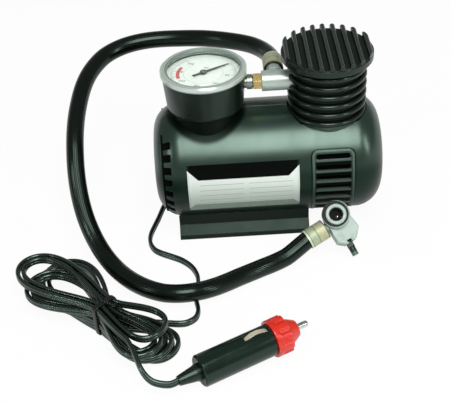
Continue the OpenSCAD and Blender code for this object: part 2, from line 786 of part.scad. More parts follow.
module piston_seal() {
    color([0.15, 0.12, 0.1]) translate([cover_x, 0, crown_z - crown_t - seal_h])
        ring(bore_r - shaft_gap, seal_in_r, seal_h);
}
module crank_pin() {
    x0 = disc_x + disc_t + open_gap;
    color([0.6, 0.62, 0.65]) union() {
        along_x(x0, 0, crank_z + crank_r) cylinder(r = pin_r, h = cover_x + rod_t / 2 - x0);
        along_x(cover_x + rod_t / 2, 0, crank_z + crank_r) cylinder(r = pin_r + 1, h = 1);
    }
}
gear_pitch_r = drive_module * gear_teeth / 2;
motor_z = crank_z - drive_module * (gear_teeth + pinion_teeth) / 2;
module crank_gear() {
    disc_r = crank_r + pin_r + 2;
    color([0.55, 0.57, 0.6]) difference() {
        union() {
            along_x(gear_x, 0, crank_z) linear_extrude(gear_t) gear_2d(gear_teeth, drive_module);
            along_x(disc_x - eps, 0, crank_z) cylinder(r = disc_r, h = disc_t + eps);
        }
        along_x(gear_x - 1, 0, crank_z) cylinder(r = crank_shaft_r, h = gear_t + disc_t);
        along_x(disc_x + disc_t - 2, 0, crank_z + crank_r) cylinder(r = pin_r + 0.1, h = 3);
    }
}
module crank_shaft() {
    color([0.7, 0.72, 0.74]) along_x(frame_x, 0, crank_z)
        cylinder(r = crank_shaft_r, h = disc_x + disc_t - 1 - frame_x);
}
bush_r = 4.4;
module shaft_bushes() {
    color([0.75, 0.6, 0.35]) along_x(frame_x, 0, crank_z)
        ring(bush_r, crank_shaft_r + shaft_gap, gear_x - frame_x - open_gap);
}
motor_boss_r = 4.5;
module gearbox_frame() {
    half_w = 14;
    top_x = cover_x + cylinder_r + 3;
    color([0.66, 0.68, 0.7]) difference() {
        intersection() {
            union() {
                translate([frame_x, -half_w, 0]) cube([frame_t, 2 * half_w, frame_top_z]);
                translate([frame_x, -half_w, frame_top_z - frame_t])
                    cube([top_x - frame_x, 2 * half_w, frame_t]);
            }
            along_x(frame_x - 1, 0, casing_z) cylinder(r = casing_in_r, h = big);
        }
        along_x(frame_x - 1, 0, crank_z) cylinder(r = bush_r, h = frame_t + 2);
        along_x(frame_x - 1, 0, motor_z) cylinder(r = motor_boss_r, h = frame_t + 2);
        translate([cover_x, 0, 0]) cylinder(r = bore_r + 0.6, h = big);
    }
}

// ---- motor ----
motor_x = frame_x - can_len;
bell_t = 4;
magnet_in_r = rotor_r + 0.6;
magnet_gap = 8;
magnet_len = can_len - 14;
magnet_arc = 140;
holder_w = 4;
holder_len = 8.4;
holder_t = 2;
holder_at = 8.5;
module motor_can() {
    color([0.72, 0.74, 0.76]) union() {
        difference() {
            along_x(motor_x, 0, motor_z) cylinder(r = can_r, h = can_len);
            along_x(motor_x - 1, 0, motor_z) cylinder(r = can_r - can_wall, h = can_len + 1 - can_wall);
            along_x(motor_x, 0, motor_z) cylinder(r = 3, h = can_len + 1);
        }
        along_x(frame_x - can_wall, 0, motor_z) ring(motor_boss_r, motor_shaft_r + shaft_gap, can_wall + 2);
        for (side = [0, 180])
            along_x(motor_x + magnet_gap, 0, motor_z) rotate([0, 0, side + 90 - magnet_arc / 2])
                rotate_extrude(angle = magnet_arc)
                    translate([magnet_in_r, 0]) square([can_r - can_wall - magnet_in_r, magnet_len]);
    }
}
module motor_end_bell() {
    color([0.9, 0.9, 0.86]) difference() {
        union() {
            along_x(motor_x - bell_t, 0, motor_z) cylinder(r = can_r, h = bell_t);
            for (side = [-1, 1])
                translate([motor_x - 1, -holder_w / 2, motor_z + side * holder_at - holder_t / 2])
                    cube([holder_len, holder_w, holder_t]);
        }
        along_x(motor_x - bell_t - 1, 0, motor_z) cylinder(r = motor_shaft_r + shaft_gap, h = bell_t + 2);
    }
}
module motor_rotor() {
    color([0.45, 0.42, 0.4]) difference() {
        union() {
            along_x(motor_x + 9.5, 0, motor_z) cylinder(r = rotor_r, h = can_len - 17);
            along_x(motor_x + 3, 0, motor_z) cylinder(r = 3.6, h = 7);
        }
        along_x(motor_x, 0, motor_z) cylinder(r = motor_shaft_r, h = big);
        for (a = [0 : 60 : 300])
            along_x(motor_x + 9, 0, motor_z) rotate([0, 0, a]) translate([rotor_r - 3.4, -0.7, 0])
                cube([5, 1.4, can_len]);
    }
}
module motor_shaft() {
    x0 = motor_x - bell_t + 1;
    color([0.75, 0.77, 0.78]) along_x(x0, 0, motor_z)
        cylinder(r = motor_shaft_r, h = gear_x + gear_t + 1 - x0);
}
module motor_pinion() {
    color([0.8, 0.7, 0.4]) along_x(gear_x - 0.4, 0, motor_z) difference() {
        linear_extrude(gear_t + 0.8) rotate([0, 0, 180 / pinion_teeth]) gear_2d(pinion_teeth, drive_module);
        translate([0, 0, -1]) cylinder(r = motor_shaft_r, h = gear_t + 4);
    }
}
module motor_brushes() {
    color([0.2, 0.2, 0.2]) for (side = [-1, 1])
        translate([motor_x + 4.2, -1.5, motor_z + side * 5.6 - 1.9]) cube([3, 3, 3.8]);
}

// ---- sweeps ----
function unit(v) = v / norm(v);
function tangent(path, i) =
    let (last = len(path) - 1)
    i == 0 ? unit(path[1] - path[0]) : i == last ? unit(path[last] - path[last - 1]) :
    unit(unit(path[i + 1] - path[i]) + unit(path[i] - path[i - 1]));
function ring_points(path, section, i) =
    let (t = tangent(path, i), side = unit(cross(t, [0, 0, 1])), up = cross(side, t))
    [for (q = section) path[i] + q[0] * side + q[1] * up];
function sweep_points(path, section) = [for (i = [0 : len(path) - 1]) each ring_points(path, section, i)];
module sweep(path, section) {
    n = len(section);
    last = len(path) - 1;
    walls = [for (i = [0 : last - 1]) for (j = [0 : n - 1])
        let (a = i * n + j, b = i * n + (j + 1) % n) each [[a, b, a + n], [b, b + n, a + n]]];
    caps = [for (j = [1 : n - 2]) each [[0, j + 1, j], [last * n, last * n + j, last * n + j + 1]]];
    polyhedron(sweep_points(path, section), concat(walls, caps));
}
function oval_section(w, h, sides) =
    [for (k = [0 : sides - 1]) [w / 2 * cos(k * 360 / sides), h / 2 * sin(k * 360 / sides)]];

// ---- plug frame ----
plug_at = [-45.9, -148.2];
plug_pitch = asin((nose_r - plug_r + 0.05) / plug_len);
plug_axis = [cos(plug_heading) * cos(plug_pitch), sin(plug_heading) * cos(plug_pitch), sin(plug_pitch)];
plug_tail = [plug_at[0], plug_at[1], plug_r];
relief_len = 12;
relief_end = plug_tail - relief_len * plug_axis;
module at_plug(z) {
    translate(plug_tail + z * plug_axis) rotate([0, 0, plug_heading]) rotate([0, 90 - plug_pitch, 0])
        children();
}

// ---- chuck frame ----
chuck_at = [37.3, -46.3, 27.2];
lever_angle = -65.5;
inlet_at = [-6.6, -7.3, -6.5];
inlet_angle = 209;
inlet_axis = [cos(inlet_angle), sin(inlet_angle), 0];
function chuck_turn(p) = [p[0], p[1] * cos(chuck_tilt) - p[2] * sin(chuck_tilt),
                          p[1] * sin(chuck_tilt) + p[2] * cos(chuck_tilt)];
function chuck_point(p) = chuck_at + chuck_turn(p);
module at_chuck() {
    translate(chuck_at) rotate([chuck_tilt, 0, 0]) children();
}
module at_inlet() {
    at_chuck() translate(inlet_at) rotate([0, 0, inlet_angle]) rotate([0, 90, 0]) children();
}

// ---- hank ----
hank_layers = 4;
hank_at = [-101, -97];
hank_turn = -45.5;
waist_at = [8, -1];
hank_start = 65;
hank_end = 300;
loop_rings = 24;
// Reach, bulge and turn of each layer's lobe, from the lowest layer up, left and right of the waist.
hank_left = [[66, 25, -13], [60, 22, -1], [55, 21, 11], [67, 23, 5]];
hank_right = [[46, 20, 15], [43, 19, 4], [44, 19, -5], [42, 20, 9]];
per_layer = hank_loops / hank_layers;
hank_waist = loop_step * per_layer + 1;
hank_turns = hank_loops - (hank_start + 360 - hank_end) / 360;
bulge_fade = 0.25;
turn_fade = 0.04;
climb = 28 / 360;
climb_at = (90 - hank_start) / 360;
waist_lift = tie_t + 0.3;
function smooth(s) = let (c = max(0, min(1, s))) c * c * (3 - 2 * c);
function fade(q, k) = (1 + k) * q / (q + k);
function layer_at(u, i = 1) = i >= hank_layers ? 0 :
    smooth((u - i * per_layer - climb_at) / climb + 0.5) + layer_at(u, i + 1);
// The spiral runs in over one layer and out over the next, at a steady rate.
function inset_at(u) = let (k = u / per_layer, f = k - floor(k)) per_layer * (floor(k) % 2 == 0 ? f : 1 - f);
// Each pass round a lobe keeps the shape of its layer, since layers change at the waist.
function layer_index(n) = max(0, min(hank_layers - 1, floor(n / per_layer)));
function lobe_of(a) = cos(a) < 0 ? hank_left[layer_index(floor((a - 90) / 360))] :
    hank_right[layer_index(floor((a + 90) / 360) - hank_start / 360)];
function outer_loop(a, lobe) =
    let (c = cos(a), q = abs(c), x = lobe[0] * c, t = lobe[2] * fade(q * q, turn_fade),
         y = (hank_waist + lobe[1] * q * fade(q, bulge_fade)) * sin(a))
    [waist_at[0] + x * cos(t) - y * sin(t), waist_at[1] + x * sin(t) + y * cos(t)];
// An inner loop lies beside the outer one, a number of steps in along its normal.
function hank_local(u) =
    let (a = hank_start + 360 * u, lobe = lobe_of(a), in = inset_at(u) * loop_step,
         p = outer_loop(a, lobe), t = unit(outer_loop(a + 0.1, lobe) - outer_loop(a - 0.1, lobe)))
    [p[0] - t[1] * in, p[1] + t[0] * in,
     cord_h / 2 + layer_at(u) * layer_h + waist_lift * pow(sin(a), 4)];
function hank_point(u) = let (p = hank_local(u))
    [hank_at[0] + p[0] * cos(hank_turn) - p[1] * sin(hank_turn),
     hank_at[1] + p[0] * sin(hank_turn) + p[1] * cos(hank_turn), p[2]];
hank_steps = round(hank_turns * loop_rings);
hank_path = [for (i = [0 : hank_steps]) hank_point(i * hank_turns / hank_steps)];
hank_first = hank_path[0];
hank_last = hank_path[hank_steps];
hank_in = unit(hank_path[1] - hank_path[0]);
hank_out = unit(hank_path[hank_steps] - hank_path[hank_steps - 1]);
hank_section = oval_section(cord_w, cord_h, 6);
// Least distance between points of the tube's surface that lie more than half a turn apart along it.
function middle_ring(path, section, i) = [for (k = [0 : len(section) - 1])
    (ring_points(path, section, i)[k] + ring_points(path, section, i + 1)[k]) / 2];
function least(list) = min([for (v = list) v]);
module measure_gap(path, section) {
    rings = [for (i = [0 : len(path) - 2])
        concat(ring_points(path, section, i), middle_ring(path, section, i))];
    n = len(rings);
    near = [for (i = [0 : n - 1]) for (j = [i + loop_rings / 2 : 1 : n - 1])
        if (norm(path[i] - path[j]) < 2.5 * cord_h) [i, j]];
    gap = min([for (q = near) min([for (a = rings[q[0]]) min([for (b = rings[q[1]]) norm(a - b)])])]);
    echo(least_gap_of_hank = gap, cord_in_hank = path_length(path));
}
function path_length(path) = let (d = [for (i = [1 : len(path) - 1]) norm(path[i] - path[i - 1])])
    d * [for (v = d) 1];

// ---- cord ----
gland_y = 6;
gland_z = 3.7;
gland_r = 2.7;
gland_in = 5;
gland_out = 4;
stand_end_x = stand_x - stand_len / 2;
cord_exit = [stand_end_x - gland_out, gland_y, gland_z];
lead_route = [[-66, 4, 3.4], [-68, -2, 3], [-70, -9, 2.5], [-72.5, -17, 2.2], [-74.5, -25, 2.2],
              [-74.3, -33, 2.2], [-71, -40, 2.2], [-64, -45, 2.2], [-56, -50, 2.2], [-49.5, -57, 2.2],
              [-46, -66, 2.2], [-46, -76, 2.2], [-47.3, -85, 2.2], [-46, -94, 2.2], [-47.5, -101, 2.2],
              [-53.5, -105, 2.3], [-61.5, -104.6, 2.5]];
tail_route = [[-82.5, -132, 17.4], [-79.6, -138.6, 17], [-77.2, -145, 15.6], [-74.3, -150.8, 13],
              [-69.5, -155, 10.4]];
hose_route = [[3, 37, 91.5], [-5, 49, 90.5], [-18, 58.5, 89.3], [-34, 66, 88.2], [-51, 69.5, 87.5],
              [-69, 69.5, 87.5], [-85, 65.5, 86.7], [-98.5, 56.5, 84.5], [-108.5, 39, 80],
              [-113, 22, 73.3], [-115, 5, 65.5], [-115.3, -9.5, 56], [-114.8, -20, 45.5],
              [-112.8, -30, 34], [-109, -39.5, 24], [-102, -52, 15.5], [-92, -66, 11],
              [-79, -79.5, 10.3], [-64, -87.8, 10.3], [-49, -88.4, 10.2], [-35, -82.5, 8.4],
              [-22, -73.5, 6.4], [-8, -65.5, 5.7], [7, -58.7, 7.2]];
lead_section = oval_section(cord_w, cord_h, 8);
lead_path = concat([cord_exit, cord_exit - [cord_h, 0, 0]], lead_route,
                   [hank_first - cord_h * hank_in, hank_first]);
tail_path = concat([hank_last, hank_last + cord_h * hank_out], tail_route,
                   [relief_end - cord_h * plug_axis, relief_end]);
hose_start = [hose_tail_x, hose_tail_y, outlet_z];
hose_end = chuck_point(inlet_at);
hose_path = concat([hose_start, hose_start + [0, ferrule_len, 0]], hose_route,
                   [hose_end + ferrule_len * chuck_turn(inlet_axis), hose_end]);
module cord_gland() {
    color([0.05, 0.07, 0.06]) union() {
        along_x(stand_end_x, gland_y, gland_z) cylinder(r = gland_r, h = gland_in);
        along_x(stand_end_x - gland_out, gland_y, gland_z) cylinder(r1 = 2.4, r2 = 3.1, h = gland_out);
    }
}
module cord_lead() {
    echo(cord_lead = path_length(lead_path));
    color([0.06, 0.08, 0.07]) sweep(lead_path, lead_section);
}
module cord_hank() {
    measure_gap(hank_path, hank_section);
    color([0.06, 0.08, 0.07]) sweep(hank_path, hank_section);
}
module cord_tail() {
    echo(cord_tail = path_length(tail_path));
    color([0.06, 0.08, 0.07]) sweep(tail_path, lead_section);
}
module cord_tie() {
    in_y = hank_waist + cord_w / 2 + 2.2;
    in_z = cord_h + (hank_layers - 1) * layer_h + 0.9;
    corner = 2;
    color([0.1, 0.12, 0.11]) translate([hank_at[0], hank_at[1], 0.2]) rotate([0, 0, hank_turn])
        translate([waist_at[0] - tie_w / 2, waist_at[1], 0]) rotate([90, 0, 90])
            linear_extrude(tie_w) difference() {
                tie_outline(in_y + tie_t, in_z + 2 * tie_t, corner + tie_t);
                translate([0, tie_t]) tie_outline(in_y, in_z, corner);
            }
}
module tie_outline(half, h, corner) {
    union() {
        translate([-half + corner, 0]) square([2 * (half - corner), h]);
        translate([-half, corner]) square([2 * half, h - 2 * corner]);
        for (i = [-1, 1])
            for (z = [corner, h - corner])
                translate([i * (half - corner), z]) circle(r = corner);
    }
}

// ---- plug ----
fuse_r = 3.15;
fuse_len = 30;
fuse_bore_r = 4;
spring_seat = 12;
spigot_len = 4;
spigot_r = 5.4;
slot_floor = 5.8;
strip_w = 2.6;
strip_t = 0.6;
strip_low = plug_len - 15;
strip_high = plug_len - 1.5;
nose_end = plug_len + nose_len + cone_len;
stop_z = nose_end - 2;
flange_t = 1.5;
flange_z = stop_z - open_gap - flange_t;
fuse_z = flange_z - fuse_len;
relief_ring = 2;
module plug_relief() {
    color([0.06, 0.08, 0.07]) at_plug(-relief_len) union() {
        cylinder(r1 = 2.7, r2 = 4.4, h = relief_len - relief_ring);
        translate([0, 0, relief_len - relief_ring]) cylinder(r = 4.7, h = relief_ring);
    }
}
module side_slot(angle) {
    rotate([0, 0, angle]) translate([slot_floor, -strip_w / 2 - open_gap, strip_low - 1])
        cube([10, strip_w + 2 * open_gap, strip_high - strip_low + 1.6]);
}
module plug_body() {
    color([0.06, 0.1, 0.09]) at_plug(0) rotate([0, 0, plug_roll]) difference() {
        union() {
            cylinder(r1 = plug_r - 0.8, r2 = plug_r, h = 0.8);
            translate([0, 0, 0.8]) cylinder(r = plug_r, h = plug_len - 0.8 - open_gap);
        }
        translate([0, 0, spring_seat]) cylinder(r = fuse_bore_r, h = big);
        translate([0, 0, plug_len - spigot_len - open_gap - eps]) cylinder(r = spigot_r + shaft_gap, h = big);
        side_slot(0);
        side_slot(180);
    }
}
module plug_nose() {
    flutes = 10;
    nose_band = 3;
    spigot_z = plug_len - spigot_len;
    color([0.88, 0.2, 0.13]) at_plug(0) difference() {
        union() {
            translate([0, 0, plug_len]) difference() {
                cylinder(r = nose_r, h = nose_len);
                for (i = [0 : flutes - 1])
                    rotate([0, 0, i * 360 / flutes]) translate([nose_r + 1.1, 0, nose_band])
                        cylinder(r = 2, h = big, $fn = 32);
            }
            translate([0, 0, plug_len + nose_len]) cylinder(r1 = 8.2, r2 = 4.6, h = cone_len);
            translate([0, 0, spigot_z]) cylinder(r = spigot_r, h = spigot_len + 1);
        }
        translate([0, 0, spigot_z - 1]) cylinder(r = fuse_bore_r, h = stop_z - spigot_z + 1);
        translate([0, 0, stop_z - 1]) cylinder(r = contact_r + shaft_gap, h = big);
    }
}
module plug_contact() {
    round_z = nose_end + contact_out - contact_r;
    color([0.85, 0.86, 0.84]) at_plug(0) union() {
        translate([0, 0, flange_z]) cylinder(r = fuse_bore_r - 0.4, h = flange_t);
        translate([0, 0, flange_z]) cylinder(r = contact_r, h = round_z - flange_z);
        translate([0, 0, round_z]) sphere(r = contact_r);
    }
}
module plug_fuse() {
    cap = 6;
    color([0.8, 0.82, 0.8]) at_plug(fuse_z) union() {
        cylinder(r = fuse_r, h = cap);
        cylinder(r = fuse_r - 0.3, h = fuse_len);
        translate([0, 0, fuse_len - cap]) cylinder(r = fuse_r, h = cap);
    }
}
module plug_spring() {
    turns = 5;
    wire = 0.7;
    coil_r = 2.7;
    low = spring_seat + wire / 2;
    rise = fuse_z - spring_seat - wire - contact_travel - 0.1;
    path = [for (i = [0 : turns * 8])
        [coil_r * cos(45 * i), coil_r * sin(45 * i), low + rise * i / (8 * turns)]];
    color([0.7, 0.72, 0.74]) at_plug(0) sweep(path, oval_section(wire, wire, 6));
}
module side_contact(angle) {
    chord = strip_high - strip_low;
    rise = 2.3;
    bow_r = (chord * chord / 4 + rise * rise) / (2 * rise);
    low_r = plug_r - 1.2;
    half = asin(chord / 2 / bow_r);
    color([0.82, 0.84, 0.82]) at_plug((strip_low + strip_high) / 2) rotate([0, 0, plug_roll + angle])
        translate([low_r + rise - bow_r, strip_w / 2, 0]) rotate([90, 0, 0]) rotate([0, 0, -half])
            rotate_extrude(angle = 2 * half) translate([bow_r - strip_t, 0]) square([strip_t, strip_w]);
}
module side_contact_upper() {
    side_contact(180);
}
module side_contact_lower() {
    side_contact(0);
}

// ---- air hose ----
module air_hose() {
    echo(air_hose = path_length(hose_path));
    color([0.06, 0.08, 0.07]) sweep(hose_path, oval_section(hose_d, hose_d, 10));
}
module hose_ferrules() {
    color([0.75, 0.75, 0.55]) union() {
        along_y(hose_tail_x, hose_tail_y, outlet_z) ring(ferrule_r, hose_d / 2, ferrule_len);
        at_inlet() ring(ferrule_r, hose_d / 2, ferrule_len);
    }
}

// ---- chuck ----
chuck_barrel_r = 7.2;
lip_h = 2.4;
grommet_r = 5.4;
grommet_h = 1.8;
push_travel = 1;
push_top = -lip_h - grommet_h - push_travel - 0.1;
push_t = 1.2;
cam_r = 2.8;
cam_offset = 1.2;
pin_at = 15.9;
pin_depth = push_top - push_t - open_gap - cam_r;
arm_top = -3.6;
arm_low = pin_depth - 3;
slot_top = push_top + push_travel + 0.1;
slot_w = lever_w + 2 * open_gap;
// The lever's own frame: X runs from the mouth's axis out past the pin.
module at_lever() {
    at_chuck() rotate([0, 0, lever_angle]) children();
}
module chuck_body() {
    color([0.8, 0.86, 0.83]) difference() {
        union() {
            at_chuck() translate([0, 0, -chuck_depth])
                cylinder(r = chuck_barrel_r, h = chuck_depth + arm_top);
            at_chuck() translate([0, 0, arm_top - eps]) cylinder(r = mouth_ring_r, h = -arm_top + eps);
            at_chuck() translate([0, 0, arm_low]) linear_extrude(arm_top - arm_low)
                polygon([[-7, -1], [-3, -10.5], [0.2, -16.6], [5.5, -17.9], [11.4, -14],
                         [13.2, -7.3], [7, 2]]);
            at_inlet() translate([0, 0, -5]) cylinder(r = 2.9, h = 5);
        }
        at_chuck() translate([0, 0, -chuck_depth + 2]) cylinder(r = grommet_r, h = chuck_depth - 2 - lip_h);
        at_chuck() translate([0, 0, -lip_h - 1]) cylinder(r = mouth_r, h = lip_h + 2);
        at_inlet() translate([0, 0, -6]) cylinder(r = 1.4, h = 7);
        at_lever() translate([0, -slot_w / 2, push_top - push_t - 0.3])
            cube([pin_at + 3, slot_w, slot_top - push_top + push_t + 0.3]);
        at_lever() translate([pin_at - 5, -slot_w / 2, -30]) cube([20, slot_w, slot_top + 30]);
        at_lever() translate([pin_at, -10, pin_depth]) rotate([-90, 0, 0]) cylinder(r = lever_pin_r, h = 20);
        at_lever() translate([pin_at + 1.4, 0, 0]) cylinder(r = 1.9, h = 20, center = true, $fn = 3);
    }
}
module chuck_collar() {
    color([0.12, 0.15, 0.14]) at_chuck() translate([0, 0, arm_top + 0.1])
        ring(collar_r, mouth_ring_r, -arm_top - 0.9);
}
module chuck_grommet() {
    color([0.06, 0.06, 0.06]) at_chuck() translate([0, 0, -lip_h - grommet_h])
        ring(grommet_r, mouth_r - 0.5, grommet_h);
}
module chuck_plunger() {
    color([0.8, 0.75, 0.5]) union() {
        at_chuck() translate([0, 0, push_top - 2.6]) cylinder(r = mouth_r - 0.6, h = 2.6);
        at_lever() translate([0, -lever_w / 2 + open_gap, push_top - push_t])
            cube([pin_at + 1, lever_w - 2 * open_gap, push_t]);
    }
}
module chuck_lever() {
    color([0.1, 0.12, 0.11]) at_lever() translate([pin_at, 0, pin_depth]) difference() {
        union() {
            translate([-cam_offset, lever_w / 2, 0]) rotate([90, 0, 0]) cylinder(r = cam_r, h = lever_w);
            translate([0, -lever_w / 2, -1.4]) cube([5, lever_w, 2.8]);
            rotate([0, 90, 0]) translate([0, 0, 4.6]) cylinder(r = 2, h = lever_len - 4.6);
        }
        translate([0, -10, 0]) rotate([-90, 0, 0]) cylinder(r = lever_pin_r + shaft_gap, h = 20);
    }
}
module chuck_pin() {
    color([0.85, 0.86, 0.84]) at_lever() translate([pin_at, -4.4, pin_depth]) rotate([-90, 0, 0])
        cylinder(r = lever_pin_r, h = 8.8);
}

front_shell();
rear_shell();
stand();
stand_pads();
casing_screws();
front_label();
gauge_case();
gauge_bezel();
gauge_lens();
gauge_dial();
gauge_pointer();
gauge_arbor();
gauge_sector();
gauge_link();
bourdon_tube();
gauge_socket();
movement_frame();
outlet_manifold();
hose_tail();
fin_cover();
top_cap();
cylinder_barrel();
valve_plate();
outlet_reed();
cylinder_head();
head_screws();
piston_rod();
piston_seal();
crank_pin();
crank_gear();
crank_shaft();
shaft_bushes();
gearbox_frame();
motor_can();
motor_end_bell();
motor_rotor();
motor_shaft();
motor_pinion();
motor_brushes();
cord_gland();
cord_lead();
cord_hank();
cord_tie();
cord_tail();
plug_relief();
plug_body();
plug_nose();
plug_contact();
plug_fuse();
plug_spring();
side_contact_upper();
side_contact_lower();
air_hose();
hose_ferrules();
chuck_body();
chuck_collar();
chuck_grommet();
chuck_plunger();
chuck_lever();
chuck_pin();
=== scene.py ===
"""Portable 12 V tire inflator: finishes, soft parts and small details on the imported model."""
import math

import bmesh
import bpy
import numpy as np
from mathutils import Matrix, Vector


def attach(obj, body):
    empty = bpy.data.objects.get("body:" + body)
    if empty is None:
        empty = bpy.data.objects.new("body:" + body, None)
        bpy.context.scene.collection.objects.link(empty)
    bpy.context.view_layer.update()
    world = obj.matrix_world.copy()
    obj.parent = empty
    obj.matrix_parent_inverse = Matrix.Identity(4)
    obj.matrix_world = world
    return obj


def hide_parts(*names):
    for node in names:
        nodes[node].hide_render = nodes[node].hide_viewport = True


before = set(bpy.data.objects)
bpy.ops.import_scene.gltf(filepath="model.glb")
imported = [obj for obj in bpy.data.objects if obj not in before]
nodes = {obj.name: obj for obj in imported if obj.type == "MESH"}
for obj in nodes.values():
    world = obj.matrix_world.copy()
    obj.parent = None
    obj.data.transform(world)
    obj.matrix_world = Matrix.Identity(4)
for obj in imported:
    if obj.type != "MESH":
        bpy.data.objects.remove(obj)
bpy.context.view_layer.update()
MM = 0.001
DEGREES = 180 / math.pi  # in a radian



def add(name, data):
    """An object in the scene."""
    made = bpy.data.objects.new(name, data)
    bpy.context.scene.collection.objects.link(made)
    return made


# ---- camera ----
RIGHT = (0.9982398, -0.0355259, -0.0474885)
UP = (0.0593064, 0.5979692, 0.7993219)
BACK = (0.0, -0.8007314, 0.5990236)
EYE = (-0.0271042, -0.5092652, 0.3874450)
camera_data = bpy.data.cameras.new("camera")
camera_data.sensor_fit = "HORIZONTAL"
camera_data.sensor_width = 36
camera_data.lens = 79.8
camera_data.clip_start = 0.02
camera_data.clip_end = 20
camera = add("camera", camera_data)
camera.matrix_world = Matrix(
    [(RIGHT[i], UP[i], BACK[i], EYE[i]) for i in range(3)] + [(0, 0, 0, 1)]
)
bpy.context.scene.camera = camera
bpy.context.scene.view_settings.view_transform = "Standard"

# ---- places on the object, in millimetres and degrees of the frame ----
CASING_AXIS_Z = 41.2
CASING_R = 35.0
GAUGE_X = -35.5
FIN_X = 36.3

PLUG_R = 8.85
NOSE_R = 10.4
NOSE_CLEAR = 0.05
PLUG_LENGTH = 42.5
PLUG_PITCH = math.asin((NOSE_R - PLUG_R + NOSE_CLEAR) / PLUG_LENGTH)
PLUG_HEADING = math.radians(26)
PLUG_AXIS = np.array(
    [
        math.cos(PLUG_HEADING) * math.cos(PLUG_PITCH),
        math.sin(PLUG_HEADING) * math.cos(PLUG_PITCH),
        math.sin(PLUG_PITCH),
    ]
)
PLUG_TAIL = np.array([-45.9, -148.2, PLUG_R])
RELIEF_LENGTH = 12
RELIEF_END = PLUG_TAIL - RELIEF_LENGTH * PLUG_AXIS

CHUCK_AT = np.array([37.3, -46.3, 27.2])
CHUCK_TILT = math.radians(42)
CHUCK_TURN = np.array(
    [
        [1, 0, 0],
        [0, math.cos(CHUCK_TILT), -math.sin(CHUCK_TILT)],
        [0, math.sin(CHUCK_TILT), math.cos(CHUCK_TILT)],
    ]
)
PLUNGER_TOP = -5.30
PIN_AT = (43.894, -50.628, 10.385)
INLET = CHUCK_AT + CHUCK_TURN @ np.array([-6.6, -7.3, -6.5])
INLET_HEADING = math.radians(209)
INLET_AXIS = CHUCK_TURN @ np.array([math.cos(INLET_HEADING), math.sin(INLET_HEADING), 0])
FERRULE_LENGTH = 12.5


# ---- mesh helpers ----
MOULD_EDGE = 30.0
CAST_EDGE = 50.0
SWEPT_EDGE = 60.0


def unit(v):
    return v / np.linalg.norm(v)


def put(name, verts, faces, body, sharp=MOULD_EDGE):
    """A new piece from points in millimetres, riding on a body."""
    mesh = bpy.data.meshes.new(name)
    mesh.from_pydata([[c * MM for c in p] for p in verts], [], [list(f) for f in faces])
    mesh.validate()
    piece = add(name, mesh)
    soften(piece, sharp)
    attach(piece, body)
    return piece


def soften(piece, sharp):
    """Smooth shading that keeps the edges that turn by more than the angle, in degrees."""
    mesh = bmesh.new()
    mesh.from_mesh(piece.data)
    bmesh.ops.recalc_face_normals(mesh, faces=mesh.faces)
    for face in mesh.faces:
        face.smooth = True
    for edge in mesh.edges:
        edge.smooth = edge.calc_face_angle(0.0) < math.radians(sharp)
    mesh.to_mesh(piece.data)
    mesh.free()


def closed_bands(rows, columns):
    """Faces of a closed outline that is repeated in rows, with the last row joined to the first."""
    return [
        (i * columns + k, j * columns + k, j * columns + m, i * columns + m)
        for i, j in ((i, (i + 1) % rows) for i in range(rows))
        for k, m in ((k, (k + 1) % columns) for k in range(columns))
    ]


def lathe(name, profile, steps, at, turn, body):
    """A turned part: a profile of (radius, height) turned about the Z of a placed frame."""
    verts = []
    for i in range(steps):
        a = 2 * math.pi * i / steps
        for r, z in profile:
            verts.append(np.array(at) + turn @ np.array([r * math.cos(a), r * math.sin(a), z]))
    return put(name, verts, closed_bands(steps, len(profile)), body)


def curve_through(points, step):
    """A smooth line through the points, with about one point for each step of its length."""
    p = np.array(points, float)
    p = np.vstack([2 * p[0] - p[1], p, 2 * p[-1] - p[-2]])
    out = []
    for i in range(1, len(p) - 2):
        knots = [0.0]
        for k in range(3):
            knots.append(knots[-1] + math.sqrt(np.linalg.norm(p[i + k] - p[i + k - 1])))
        count = max(2, round(np.linalg.norm(p[i + 1] - p[i]) / step))
        for k in range(count):
            t = knots[1] + (knots[2] - knots[1]) * k / count
            line = [p[i - 1], p[i], p[i + 1], p[i + 2]]
            for level in range(1, 4):
                line = [
                    ((knots[j + level] - t) * line[j] + (t - knots[j]) * line[j + 1])
                    / (knots[j + level] - knots[j])
                    for j in range(4 - level)
                ]
            out.append(line[0])
    out.append(p[-2])
    return np.array(out)


def tube(name, path, section, body, upright=True):
    """A section swept along a path of points, with both ends closed."""
    path = np.array(path, float)
    ways = np.gradient(path, axis=0)
    ways /= np.linalg.norm(ways, axis=1)[:, None]
    verts = []
    side = unit(np.cross(ways[0], [0, 0, 1]))
    for p, t in zip(path, ways):
        side = unit(np.cross(t, [0, 0, 1])) if upright else unit(side - t * np.dot(side, t))
        up = np.cross(side, t)
        verts += [p + (side * x + up * y) for x, y in section]
    n = len(section)
    faces = [
        (i * n + j, i * n + (j + 1) % n, (i + 1) * n + (j + 1) % n, (i + 1) * n + j)
        for i in range(len(path) - 1)
        for j in range(n)
    ]
    verts += [path[0], path[-1]]
    last = (len(path) - 1) * n
    faces += [((j + 1) % n, j, len(verts) - 2) for j in range(n)]
    faces += [(last + j, last + (j + 1) % n, len(verts) - 1) for j in range(n)]
    return put(name, verts, faces, body, SWEPT_EDGE)


def evaluated_mesh(piece):
    bpy.context.view_layer.update()
    depsgraph = bpy.context.evaluated_depsgraph_get()
    return bpy.data.meshes.new_from_object(piece.evaluated_get(depsgraph))


